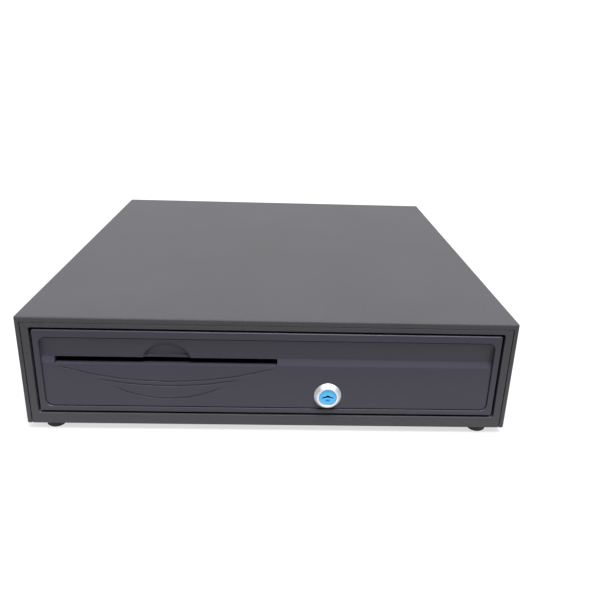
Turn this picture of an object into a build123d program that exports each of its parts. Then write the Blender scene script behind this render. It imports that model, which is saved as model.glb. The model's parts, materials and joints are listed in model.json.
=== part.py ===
"""A point-of-sale cash drawer: folded steel case, ball-slide drawer, key lock and solenoid latch.

Frame: X to the right, Y from front to back, Z up, in millimetres. The origin is under the middle of
the whole object, on the plane that its feet stand on. Depths are counted back from the case's front
face and heights up from the case's lower edge, and row_y() and row_z() turn them into the frame.
Every piece is built where it sits with the drawer closed and the latch released.
"""

import os
from math import cos, pi, radians, sin, tan

from build123d import *

# ---------------------------------------------------------------- driving sizes: case
WIDTH = 405.0            # over the case's sides
DEPTH = 420.0            # case front face to case back face
CASE_HEIGHT = 97.0       # case lower edge to top
SHEET = 1.0              # steel sheet of the case, frame and drawer
CASE_BEND = 1.8          # outer radius of the case's folds
FOOT_DROP = 6.0          # how far the feet stand below the case's lower edge
RETURN_SIDE = 3.9        # case front return, at the sides
RETURN_TOP = 5.0         # case front return, along the top
SEAM_SIDE = 0.7          # dark line between the side return and the front frame
SEAM_TOP = 0.4
STRIP_SIDE = 5.9         # front frame, width beside the opening
STRIP_TOP = 4.0
STRIP_BOTTOM = 9.8
OPENING_CORNER = 1.8     # corner radius of the opening
LIP_DEPTH = 14.0         # how far the opening's turned lip runs back
LOCK_LIP_DEPTH = 19.0    # the same along the bottom, where the lock cam hooks it
REAR_RETURN = 12.0       # inward flange at the back, and along the bottom of the sides
REAR_SPACE = 38.0        # room for the latch, behind the drawer pan
SWAGE_WIDTH = 16.0       # stiffening swages of the base plate
SWAGE_MARGIN = 70.0      # from the plate's front and back to the swages' ends

# ---------------------------------------------------------------- driving sizes: drawer
TRAVEL = 280.0           # how far the drawer opens
FRONT_GAP = 1.9          # between the moulded front and the opening, all round
FRONT_DEPTH = 12.0       # moulded front, face to back
FRONT_WALL = 2.5
FRONT_ROUND = 1.1        # rounded outer edge of the moulded front
BORDER_SIDE = 5.1        # flat border round the front's sunk field
BORDER_TOP = 6.6
BORDER_BOTTOM = 4.5
FIELD_CORNER = 5.5
FIELD_LINE = 0.9         # groove that outlines the field
PAN_UNDER = 2.7          # pan floor over the frame's bottom lip
PAN_TOP_DROP = 9.7       # pan sides end this far under the top of the moulded front
SLIDE_THICK = 12.0       # a whole slide, bracket to pan
SLIDE_HALF = 17.5        # half its height
SLIDE_UP = 27.5          # slide centre line over the pan floor's underside
RAIL_START = 16.0        # depth of the rails' front ends
RAIL_SHEET = 1.2
BALL_GAP = 3.0           # between two rails' flanges
BALL_RADIUS = 1.75
BALLS_PER_ROW = 7
CAGE_SHEET = 1.0         # steel strip of a ball cage

# ---------------------------------------------------------------- driving sizes: moulded front
SLOT_MARGIN = 15.4       # media slot to the left edge of the moulded front
SLOT_LENGTH = 181.0
SLOT_HEIGHT = 5.6
SLOT_BELOW_TOP = 27.7    # slot centre line under the top of the moulded front
THUMB_RADIUS = 21.8
THUMB_BELOW_SLOT = 5.8   # centre of the thumb recess under the slot's centre line
LOCK_FROM_RIGHT = 141.1
LOCK_UP = 17.2           # lock centre line over the lower edge of the moulded front
BEZEL_RADIUS = 11.4
BEZEL_FACE_RADIUS = 8.9
LOCK_PROUD = 3.2         # bezel face in front of the case's front face
BARREL_RADIUS = 9.0
BARREL_END = 20.0        # depth of the barrel's inner end
ROTOR_RADIUS = 7.4
KEYWAY_HALF = 4.7        # half the keyway's span
THUMB_SINK = 1.6         # thumb recess behind the field's deepest line
ROD_RADIUS = 2.5
SHOULDER_DEPTH = 1.2     # field depth under the slot's band
HOLLOW_DEPTH = 4.2       # deepest line of the field, over the band
# the three smile-shaped grooves: sag under the slot, radius, half span
SMILE_GROOVES = ((15.2, 299, 92), (19.2, 290, 60), (30.9, 97, 48))

# ---------------------------------------------------------------- driving sizes: till
TILL_SIDE_GAP = 3.0      # till wall to pan wall
TILL_WALL = 2.0
TILL_FRONT = 45.0        # depth of the till's front wall: cheques drop in ahead of it
TILL_RIM = 5.5
TILL_RIM_THICK = 2.0
BILL_LENGTH = 175.0
BILL_COUNT = 5
COIN_COLUMNS = 4
COIN_ROWS = 2
COIN_SCOOP = 14.0        # radius of the cups' floors, front and back
TRAY_GAP = 1.0           # removable coin tray, all round
CLIP_LENGTH = 84.0
CLIP_WIDTH = 16.0
CLIP_ROD_RADIUS = 1.5

# ---------------------------------------------------------------- driving sizes: latch
LATCH_SWING = 12.0       # degrees, released to engaged
LEVER_THICK = 2.5
LEVER_REACH = 23.5       # pivot to the front of the hook
PEG_RADIUS = 2.25
PLUNGER_ARM = 12.0       # pivot to the plunger's pin
COIL_RADIUS = 10.0
COIL_LENGTH = 23.0
PLUNGER_RADIUS = 3.5
LEVER_PIN_RADIUS = 1.2
WINDING_STEP = 1.2       # winding under the rim of the bobbin's cheeks
CHEEK = 1.5              # thickness of a cheek

# ---------------------------------------------------------------- clearances
RUNNING = 0.05           # radial, shafts in their holes
BALL_PLAY = 0.1          # ball to race
PIN_PLAY = 0.6           # slotted holes that follow an arc
HOLE_PLAY = 0.2          # radial, fixings and barrels through sheet

# ---------------------------------------------------------------- fixings
SCREW_HEAD_RADIUS = 3.6
SCREW_HEAD = 2.2
SCREW_RADIUS = 2.0
FRONT_SCREW_RADIUS = 1.5
FOOT_TOP_RADIUS = 9.0
FOOT_RADIUS = 8.0
FOOT_INSET_X = 21.2      # foot centre to the case's side
FOOT_INSET_Y = 10.2      # foot centre to the case's front and back
FOOT_DISH = 3.2          # hollow under a foot, for its screw's head
REAR_SCREW_HEIGHTS = (0.25, 0.7)         # shares of the case's height
BASE_SCREW_DEPTHS = (0.15, 0.5, 0.85)    # shares of the case's depth
RAIL_SCREW_DEPTHS = (0.08, 0.5, 0.92)    # shares of a rail's length

# ---------------------------------------------------------------- derived places
HALF_WIDTH = WIDTH / 2
FRONT_Y = -(DEPTH + SCREW_HEAD - LOCK_PROUD) / 2
OPENING_HALF = HALF_WIDTH - RETURN_SIDE - SEAM_SIDE - STRIP_SIDE
OPENING_TOP = CASE_HEIGHT - RETURN_TOP - SEAM_TOP - STRIP_TOP
FRAME_HALF = OPENING_HALF + STRIP_SIDE
FRAME_TOP = OPENING_TOP + STRIP_TOP
FRONT_HALF = OPENING_HALF - FRONT_GAP
FRONT_LOW = STRIP_BOTTOM + FRONT_GAP
FRONT_TOP = OPENING_TOP - FRONT_GAP
FIELD_HALF = FRONT_HALF - BORDER_SIDE
FIELD_LOW = FRONT_LOW + BORDER_BOTTOM
FIELD_TOP = FRONT_TOP - BORDER_TOP
BRACKET_FACE = OPENING_HALF - SHEET
PAN_HALF = BRACKET_FACE - SLIDE_THICK
PAN_FLOOR = STRIP_BOTTOM + PAN_UNDER
PAN_TOP = FRONT_TOP - PAN_TOP_DROP
PAN_FRONT = FRONT_DEPTH
PAN_BACK = DEPTH - REAR_SPACE
SLIDE_Z = PAN_FLOOR + SLIDE_UP
RAIL_LENGTH = PAN_BACK - 2 * RAIL_START
RAIL_END = RAIL_START + RAIL_LENGTH
MIDDLE_HALF = SLIDE_HALF - RAIL_SHEET - BALL_GAP
DRAWER_RAIL_HALF = MIDDLE_HALF - RAIL_SHEET - BALL_GAP
OUTER_BALL_HEIGHT = MIDDLE_HALF + BALL_GAP / 2
INNER_BALL_HEIGHT = DRAWER_RAIL_HALF + BALL_GAP / 2
BALL_X = BRACKET_FACE - 7.0
CAGE_LENGTH = RAIL_LENGTH - TRAVEL / 2 - 10.0
CAGE_START = RAIL_START + TRAVEL / 4 + 4.0
SLOT_LEFT = -FRONT_HALF + SLOT_MARGIN
SLOT_RIGHT = SLOT_LEFT + SLOT_LENGTH
SLOT_X = (SLOT_LEFT + SLOT_RIGHT) / 2
SLOT_Z = FRONT_TOP - SLOT_BELOW_TOP
BAND_TOP = SLOT_Z + SLOT_HEIGHT / 2 + 0.7
BAND_LOW = SLOT_Z - SLOT_HEIGHT / 2
LOCK_X = FRONT_HALF - LOCK_FROM_RIGHT
LOCK_Z = FRONT_LOW + LOCK_UP
CAM_REACH = LOCK_Z - 6.0
FINGER_DEPTH = PAN_BACK + 8.5
TILL_HALF = PAN_HALF - SHEET - TILL_SIDE_GAP
TILL_FLOOR = LOCK_Z + ROD_RADIUS + 1.6
TILL_BACK = PAN_BACK - SHEET - 5.0
BILL_FRONT = TILL_BACK - TILL_WALL - BILL_LENGTH
BILL_WIDTH = (2 * TILL_HALF - (BILL_COUNT + 1) * TILL_WALL) / BILL_COUNT
CLIP_DEPTH = TILL_BACK - 6.0
CLIP_Z = PAN_TOP - 6.0
CLIP_DROP = CLIP_Z - (TILL_FLOOR + TILL_WALL) - 3.0
COIN_HALF = TILL_HALF - TILL_WALL - TRAY_GAP
COIN_FRONT = TILL_FRONT + TILL_WALL + TRAY_GAP
COIN_BACK = BILL_FRONT - TILL_WALL - TRAY_GAP
CUP_WIDTH = (2 * COIN_HALF - (COIN_COLUMNS + 1) * TILL_WALL) / COIN_COLUMNS
CUP_LENGTH = (COIN_BACK - COIN_FRONT - (COIN_ROWS + 1) * TILL_WALL) / COIN_ROWS
PIVOT_X = LOCK_X - 30.8
PIVOT_DEPTH = PAN_BACK + 27.0
PEG_X = PIVOT_X + 10.0
PEG_DEPTH = PIVOT_DEPTH - 17.0
LEVER_Z = LOCK_Z + 7.1
COIL_Z = LEVER_Z + LEVER_THICK / 2
PIN_X = PIVOT_X - PLUNGER_ARM * sin(radians(LATCH_SWING))
PIN_DEPTH = PIVOT_DEPTH - PLUNGER_ARM * cos(radians(LATCH_SWING))
YOKE_RIGHT = PIVOT_X - 14.0
YOKE_SHEET = 1.5
YOKE_LEFT = YOKE_RIGHT - COIL_LENGTH - 2 * YOKE_SHEET
COIL_DEPTH = PIN_DEPTH
SHELF_TOP = COIL_Z - COIL_RADIUS - YOKE_SHEET
SHELF_SHEET = 1.5
SOCKET_X = -HALF_WIDTH + 92.5
SOCKET_Z = LOCK_Z + 11.6
SPRING_X = LOCK_X + 40.0
TOP_SCREW_X = WIDTH / 5

BOSS_PLACES = [(-FRONT_HALF + 25, FRONT_LOW + 12), (-60, FRONT_LOW + 12), (FRONT_HALF - 90, FRONT_LOW + 12)]
BOSS_PLACES += [(FRONT_HALF - 25, FRONT_LOW + 12), (-FRONT_HALF + 40, FRONT_TOP - 14), (0, FRONT_TOP - 14)]
BOSS_PLACES += [(FRONT_HALF - 40, FRONT_TOP - 14)]
FOOT_PLACES = {
    "front_left": (-HALF_WIDTH + FOOT_INSET_X, FOOT_INSET_Y),
    "front_right": (HALF_WIDTH - FOOT_INSET_X, FOOT_INSET_Y),
    "rear_left": (-HALF_WIDTH + FOOT_INSET_X, DEPTH - FOOT_INSET_Y),
    "rear_right": (HALF_WIDTH - FOOT_INSET_X, DEPTH - FOOT_INSET_Y),
}

# The lead inside the case, as (x, depth, height): out of the socket's side, through its clip and
# into the solenoid's yoke.
LEAD_RADIUS = 1.5
CLIP_AT = (-62.0, DEPTH - 8.0, 35.5)
LEAD_POINTS = [
    (-103.5, DEPTH - 10.0, 38.0),
    (-89.0, DEPTH - 10.0, 38.0),
    (-73.0, DEPTH - 8.0, 35.5),
    (-52.0, DEPTH - 8.0, 35.5),
    (-38.0, DEPTH - 14.0, 39.5),
    (-28.0, DEPTH - 17.0, 42.0),
    (-20.3, DEPTH - 17.0, 42.0),
]


# ---------------------------------------------------------------- helpers
def row_y(depth):
    """Frame Y of a depth behind the case's front face."""
    return FRONT_Y + depth


def row_z(height):
    """Frame Z of a height over the case's lower edge."""
    return FOOT_DROP + height


def block(x0, x1, depth0, depth1, height0, height1):
    """A box between two X values, two depths and two heights."""
    middle = ((x0 + x1) / 2, row_y((depth0 + depth1) / 2), row_z((height0 + height1) / 2))
    return Pos(*middle) * Box(abs(x1 - x0), abs(depth1 - depth0), abs(height1 - height0))


def rod_y(x, height, radius, depth0, depth1):
    """A round bar along Y."""
    middle = (x, row_y((depth0 + depth1) / 2), row_z(height))
    return Pos(*middle) * Rot(90, 0, 0) * Cylinder(radius, abs(depth1 - depth0))


def rod_x(depth, height, radius, x0, x1):
    """A round bar along X."""
    middle = ((x0 + x1) / 2, row_y(depth), row_z(height))
    return Pos(*middle) * Rot(0, 90, 0) * Cylinder(radius, abs(x1 - x0))


def rod_z(x, depth, radius, height0, height1):
    """A round bar along Z."""
    middle = (x, row_y(depth), row_z((height0 + height1) / 2))
    return Pos(*middle) * Cylinder(radius, abs(height1 - height0))


def rounded_prism(half, height0, height1, corner, depth0, depth1):
    """A prism along Y on a rounded rectangle that is centred in X."""
    face = RectangleRounded(2 * half, height1 - height0, corner)
    place = Plane((0, row_y(depth1), row_z((height0 + height1) / 2)), x_dir=(1, 0, 0), z_dir=(0, -1, 0))
    return extrude(place * face, depth1 - depth0)


def profile_x(points, x0, x1):
    """A prism along X on a closed outline of (depth, height) points."""
    outline = Polyline([(0, row_y(d), row_z(h)) for d, h in points], close=True)
    return Pos(x0, 0, 0) * extrude(make_face(outline), x1 - x0, dir=(1, 0, 0))


def plate_z(points, height0, height1):
    """A flat plate on a closed outline of (x, depth) points."""
    outline = Polyline([(x, row_y(d), row_z(height0)) for x, d in points], close=True)
    return extrude(make_face(outline), height1 - height0, dir=(0, 0, 1))


def mirrored(shape):
    """The same piece on the other side of the drawer."""
    return mirror(shape, about=Plane.YZ)


def screw(head_radius, head_height, shank_radius, length, crossed=True):
    """A pan-head screw: its head's seat is at Z 0, its head stands up and its shank runs down."""
    head = extrude(Circle(head_radius), head_height)
    head = fillet(head.edges().group_by(Axis.Z)[-1], head_height * 0.45)
    body = head + Pos(0, 0, -length / 2) * Cylinder(shank_radius, length)
    if crossed:
        arm = Pos(0, 0, head_height) * Box(head_radius * 1.1, head_radius * 0.28, head_height)
        body -= arm
        body -= Rot(0, 0, 90) * arm
    return body


# Which way each screw's head points.
HEAD_BACK = Rot(-90, 0, 0)
HEAD_DOWN = Rot(180, 0, 0)
HEAD_UP = Rot(0, 0, 0)
HEAD_RIGHT = Rot(0, 90, 0)
HEAD_LEFT = Rot(0, -90, 0)


def place_screws(places, turn, head_radius, head_height, shank_radius, length):
    """One group of alike screws; each place is (x, depth, height) of a head's seat."""
    one = turn * screw(head_radius, head_height, shank_radius, length)
    return Compound([Pos(x, row_y(d), row_z(h)) * one for x, d, h in places])


# ---------------------------------------------------------------- case
def rear_screw_places():
    """Seats of the screws that hold the rear panel, on the case's back face."""
    side = HALF_WIDTH - REAR_RETURN / 2
    places = [(sign * side, DEPTH, CASE_HEIGHT * share) for sign in (-1, 1) for share in REAR_SCREW_HEIGHTS]
    return places + [(sign * TOP_SCREW_X, DEPTH, CASE_HEIGHT - REAR_RETURN / 2) for sign in (-1, 1)]


def base_screw_places():
    """Seats of the screws that hold the base plate, on the underside of the bottom flanges."""
    side = HALF_WIDTH - REAR_RETURN * 0.55
    return [(sign * side, DEPTH * share, 0.0) for sign in (-1, 1) for share in BASE_SCREW_DEPTHS]


def folded_edges(box):
    """The edges of the case's box where its sheet is bent: all but the lower front and back ones."""
    across = box.edges().filter_by(Axis.X).group_by(Axis.Z)[-1]
    return box.edges().filter_by(Axis.Y) + box.edges().filter_by(Axis.Z) + across


def make_top_cover():
    outer = block(-HALF_WIDTH, HALF_WIDTH, 0, DEPTH, 0, CASE_HEIGHT)
    outer = fillet(folded_edges(outer), CASE_BEND)
    inside = block(-HALF_WIDTH + SHEET, HALF_WIDTH - SHEET, SHEET, DEPTH - SHEET, SHEET, CASE_HEIGHT - SHEET)
    cover = outer - fillet(folded_edges(inside), CASE_BEND - SHEET)
    side = HALF_WIDTH - RETURN_SIDE
    cover -= block(-side, side, -1, SHEET + 1, -1, CASE_HEIGHT - RETURN_TOP)
    back_half = HALF_WIDTH - REAR_RETURN
    cover -= block(-back_half, back_half, SHEET + 1, DEPTH + 1, -1, CASE_HEIGHT - REAR_RETURN)
    cover -= block(-side, side, SHEET, SHEET + CASE_BEND, -1, SHEET)
    for x, d, h in rear_screw_places():
        cover -= rod_y(x, h, SCREW_RADIUS + HOLE_PLAY, d - 2 * SHEET, d + 1)
    for x, d, h in base_screw_places():
        cover -= rod_z(x, d, SCREW_RADIUS + HOLE_PLAY, -1, SHEET + 0.5)
    return cover


def make_base_plate():
    side = HALF_WIDTH - CASE_BEND
    plate = block(-side, side, SHEET, DEPTH - 2 * SHEET, SHEET, 2 * SHEET)
    for sign in (-1, 1):
        # stiffening swages, pressed up along the plate
        x = sign * WIDTH / 6
        start = SWAGE_MARGIN
        end = DEPTH - SWAGE_MARGIN
        half = SWAGE_WIDTH / 2
        plate += block(x - half - SHEET, x + half + SHEET, start - SHEET, end + SHEET, 2 * SHEET, 3 * SHEET)
        plate -= block(x - half, x + half, start, end, 0, 2 * SHEET)
    for x, d in FOOT_PLACES.values():
        plate -= rod_z(x, d, SCREW_RADIUS, 0, 3 * SHEET)
    for x, d, h in base_screw_places():
        plate -= rod_z(x, d, SCREW_RADIUS, 0, 3 * SHEET)
    for x, d, h in bracket_screw_places():
        plate -= rod_z(x, d, SCREW_RADIUS, 0, 3 * SHEET)
    return plate


def make_front_frame():
    frame = block(-FRAME_HALF, FRAME_HALF, 0, SHEET, 0, FRAME_TOP)
    lip = rounded_prism(OPENING_HALF + SHEET, STRIP_BOTTOM - SHEET, OPENING_TOP + SHEET,
                        OPENING_CORNER + SHEET, 0, LIP_DEPTH)
    frame += lip
    frame += block(-OPENING_HALF + 7, OPENING_HALF - 7, LIP_DEPTH, LOCK_LIP_DEPTH,
                   STRIP_BOTTOM - SHEET, STRIP_BOTTOM)
    frame -= rounded_prism(OPENING_HALF, STRIP_BOTTOM, OPENING_TOP, OPENING_CORNER, -1, LOCK_LIP_DEPTH + 1)
    return frame


def make_rear_panel():
    side = HALF_WIDTH - CASE_BEND
    panel = block(-side, side, DEPTH - 2 * SHEET, DEPTH - SHEET, 2 * SHEET, CASE_HEIGHT - CASE_BEND)
    panel -= block(SOCKET_X - 6.7, SOCKET_X + 6.7, DEPTH - 3, DEPTH, SOCKET_Z - 6.2, SOCKET_Z + 6.2)
    for x, d, h in rear_screw_places():
        panel -= rod_y(x, h, SCREW_RADIUS, DEPTH - 3, DEPTH)
    return panel


def make_case_screws():
    rear = place_screws(rear_screw_places(), HEAD_BACK, SCREW_HEAD_RADIUS, SCREW_HEAD, SCREW_RADIUS, 6.0)
    base = place_screws(base_screw_places(), HEAD_DOWN, SCREW_HEAD_RADIUS, SCREW_HEAD, SCREW_RADIUS, 6.0)
    return Compound(rear.solids() + base.solids())


def make_foot(x, depth):
    """A moulded rubber foot, dished underneath for its screw."""
    top = row_z(SHEET)
    with BuildSketch(Plane.XZ) as half:
        with BuildLine():
            Polyline((0, 0), (FOOT_RADIUS - 1.2, 0), (FOOT_RADIUS, 1.2), (FOOT_TOP_RADIUS - 0.8, top - 1.6),
                     (FOOT_TOP_RADIUS, top), (0, top), (0, 0))
        make_face()
    foot = revolve(half.sketch, Axis.Z)
    foot -= Pos(0, 0, FOOT_DISH / 2) * Cylinder(SCREW_HEAD_RADIUS + HOLE_PLAY, FOOT_DISH)
    foot -= Pos(0, 0, top / 2) * Cylinder(SCREW_RADIUS, top)
    return Pos(x, row_y(depth), 0) * foot


def make_foot_screws():
    seat = FOOT_DISH - FOOT_DROP
    places = [(x, d, seat) for x, d in FOOT_PLACES.values()]
    return place_screws(places, HEAD_DOWN, SCREW_HEAD_RADIUS, SCREW_HEAD, SCREW_RADIUS, 7.0)


# ---------------------------------------------------------------- slides (right side, then mirrored)
def channel(web_x, edge_x, half_height, sheet, depth0, depth1):
    """A rail's C section: its web stands at web_x and its two flanges reach edge_x."""
    inward = 1 if edge_x > web_x else -1
    solid = block(web_x, edge_x, depth0, depth1, SLIDE_Z - half_height, SLIDE_Z + half_height)
    core = half_height - sheet
    return solid - block(web_x + inward * sheet, edge_x + inward, depth0 - 1, depth1 + 1,
                         SLIDE_Z - core, SLIDE_Z + core)


def race(rail, height):
    """Two ball grooves along a rail, above and below the slide's centre line."""
    for sign in (-1, 1):
        rail -= rod_y(BALL_X, SLIDE_Z + sign * height, BALL_RADIUS + BALL_PLAY, RAIL_START - 1, RAIL_END + 1)
    return rail


def rail_fixings():
    """Depths of the three fixings along a rail."""
    return [RAIL_START + RAIL_LENGTH * share for share in RAIL_SCREW_DEPTHS]


def make_slide_bracket():
    web = block(BRACKET_FACE, BRACKET_FACE + SHEET, LIP_DEPTH + 0.5, PAN_BACK + 20, 2 * SHEET,
                SLIDE_Z + SLIDE_HALF + 4)
    flange = block(BRACKET_FACE, BRACKET_FACE + 10 * SHEET, LIP_DEPTH + 0.5, PAN_BACK + 20,
                   2 * SHEET, 3 * SHEET)
    bracket = web + flange
    for depth in rail_fixings():
        bracket -= rod_x(depth, SLIDE_Z, SCREW_RADIUS, BRACKET_FACE - 1, BRACKET_FACE + 2 * SHEET)
    for x, d, h in base_screw_places():
        bracket -= rod_z(abs(x), d, SCREW_RADIUS + HOLE_PLAY, SHEET, 5 * SHEET)
    return bracket


def make_housing_rail():
    rail = channel(BRACKET_FACE, BRACKET_FACE - 10.4, SLIDE_HALF, RAIL_SHEET, RAIL_START, RAIL_END)
    rail = race(rail, OUTER_BALL_HEIGHT)
    for depth in rail_fixings():
        rail -= rod_x(depth, SLIDE_Z, SCREW_RADIUS, BRACKET_FACE - 2 * RAIL_SHEET, BRACKET_FACE + 1)
    return rail


def make_middle_rail():
    rail = channel(BRACKET_FACE - 2.6, BRACKET_FACE - 10.4, MIDDLE_HALF, RAIL_SHEET, RAIL_START, RAIL_END)
    return race(race(rail, OUTER_BALL_HEIGHT), INNER_BALL_HEIGHT)


def make_drawer_rail():
    rail = channel(PAN_HALF, BRACKET_FACE - 5.6, DRAWER_RAIL_HALF, RAIL_SHEET, RAIL_START, RAIL_END)
    rail = race(rail, INNER_BALL_HEIGHT)
    for depth in rail_fixings():
        rail -= rod_x(depth, SLIDE_Z, FRONT_SCREW_RADIUS, PAN_HALF - 1, PAN_HALF + 2 * RAIL_SHEET)
    return rail


def make_ball_cage(web_x, row_height):
    """A ball cage with its balls: a thin channel with two rows of holes, one ball in each."""
    half_height = row_height + CAGE_SHEET / 2
    cage = channel(web_x, BRACKET_FACE - 9.6, half_height, CAGE_SHEET, CAGE_START, CAGE_START + CAGE_LENGTH)
    middle = half_height - CAGE_SHEET
    cage += block(web_x, web_x - 0.5, CAGE_START, CAGE_START + CAGE_LENGTH,
                  SLIDE_Z - middle, SLIDE_Z + middle)
    cage -= block(web_x - 0.5, web_x - CAGE_SHEET - 1, CAGE_START - 1, CAGE_START + CAGE_LENGTH + 1,
                  SLIDE_Z - middle, SLIDE_Z + middle)
    balls = []
    step = (CAGE_LENGTH - 16) / (BALLS_PER_ROW - 1)
    for sign in (-1, 1):
        for index in range(BALLS_PER_ROW):
            depth = CAGE_START + 8 + index * step
            height = SLIDE_Z + sign * row_height
            cage -= rod_z(BALL_X, depth, BALL_RADIUS + RUNNING, height - 1.5, height + 1.5)
            balls.append(Pos(BALL_X, row_y(depth), row_z(height)) * Sphere(BALL_RADIUS))
    return Compound(cage.solids() + balls)


def make_housing_rail_screws():
    places = [(BRACKET_FACE + SHEET, d, SLIDE_Z) for d in rail_fixings()]
    right = place_screws(places, HEAD_RIGHT, SCREW_HEAD_RADIUS, SCREW_HEAD, SCREW_RADIUS, SHEET + RAIL_SHEET)
    return Compound(right.solids() + mirrored(right).solids())


def make_drawer_rail_screws():
    places = [(PAN_HALF - SHEET, d, SLIDE_Z) for d in rail_fixings()]
    right = place_screws(places, HEAD_LEFT, 3.0, 1.4, FRONT_SCREW_RADIUS, SHEET + RAIL_SHEET)
    return Compound(right.solids() + mirrored(right).solids())


# ---------------------------------------------------------------- drawer
def make_drawer_pan():
    """The steel drawer: floor, sides and back, and a taller front that carries the moulding."""
    pan = block(-PAN_HALF, PAN_HALF, PAN_FRONT, PAN_BACK, PAN_FLOOR, PAN_TOP)
    pan = fillet(pan.edges().filter_by(Axis.Y).group_by(Axis.Z)[0], 1.5)
    hollow = block(-PAN_HALF + SHEET, PAN_HALF - SHEET, PAN_FRONT + SHEET, PAN_BACK - SHEET,
                   PAN_FLOOR + SHEET, PAN_TOP + 1)
    hollow = fillet(hollow.edges().filter_by(Axis.Y).group_by(Axis.Z)[0], 0.5)
    pan -= hollow
    pan += block(-PAN_HALF, PAN_HALF, PAN_FRONT, PAN_FRONT + SHEET, PAN_TOP - 1, FRONT_TOP - 2)
    pan -= block(SLOT_LEFT - 1, SLOT_RIGHT + 1, PAN_FRONT - 1, PAN_FRONT + 2 * SHEET,
                 SLOT_Z - SLOT_HEIGHT / 2 - 0.5, SLOT_Z + SLOT_HEIGHT / 2 + 0.5)
    pan -= rod_y(LOCK_X, LOCK_Z, BARREL_RADIUS + HOLE_PLAY, PAN_FRONT - 1, PAN_FRONT + 2 * SHEET)
    pan -= rod_y(LOCK_X, LOCK_Z, ROD_RADIUS + RUNNING, PAN_BACK - 2 * SHEET, PAN_BACK + 1)
    for x, h in BOSS_PLACES:
        pan -= rod_y(x, h, FRONT_SCREW_RADIUS + HOLE_PLAY, PAN_FRONT - 1, PAN_FRONT + 2 * SHEET)
    for sign in (-1, 1):
        for depth in rail_fixings():
            pan -= rod_x(depth, SLIDE_Z, FRONT_SCREW_RADIUS,
                         sign * (PAN_HALF - 2 * SHEET), sign * (PAN_HALF + 1))
    # slot in the floor that the lock cam turns down through
    pan -= block(LOCK_X - 7, LOCK_X + 21, BARREL_END - 1, BARREL_END + 5,
                 PAN_FLOOR - 1, PAN_FLOOR + 2 * SHEET)
    return pan


def field_cut(extra, x0, x1):
    """Everything in front of the sunk field's surface, moved back by extra."""
    top = (0.9 + extra, FIELD_TOP + 1)
    hollow = (HOLLOW_DEPTH + extra, BAND_TOP)
    middle = (3.1 + extra, (FIELD_TOP + BAND_TOP) / 2 + 1.5)
    shoulder = (SHOULDER_DEPTH + extra, BAND_LOW)
    foot = (0.6 + extra, FIELD_LOW - 1)

    def at(point):
        return (0, row_y(point[0]), row_z(point[1]))

    front = -5.0
    outline = Wire([
        Edge.make_three_point_arc(at(top), at(middle), at(hollow)),
        Edge.make_line(at(hollow), at(shoulder)),
        Edge.make_line(at(shoulder), at(foot)),
        Edge.make_line(at(foot), at((front, FIELD_LOW - 1))),
        Edge.make_line(at((front, FIELD_LOW - 1)), at((front, FIELD_TOP + 1))),
        Edge.make_line(at((front, FIELD_TOP + 1)), at(top)),
    ])
    return Pos(x0, 0, 0) * extrude(Face(outline), x1 - x0, dir=(1, 0, 0))


def arc_groove(centre_height, radius, half_span, width, depth):
    """A shallow groove on the lower part of a circle in the front's face."""
    place = Plane((SLOT_X, row_y(depth), row_z(centre_height)), x_dir=(1, 0, 0), z_dir=(0, -1, 0))
    ring = extrude(place * (Circle(radius + width / 2) - Circle(radius - width / 2)), depth + 2)
    drop = (radius ** 2 - half_span ** 2) ** 0.5
    window = block(SLOT_X - half_span, SLOT_X + half_span, -2, depth + 1,
                   centre_height - radius - width, centre_height - drop + width)
    return ring & window


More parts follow.
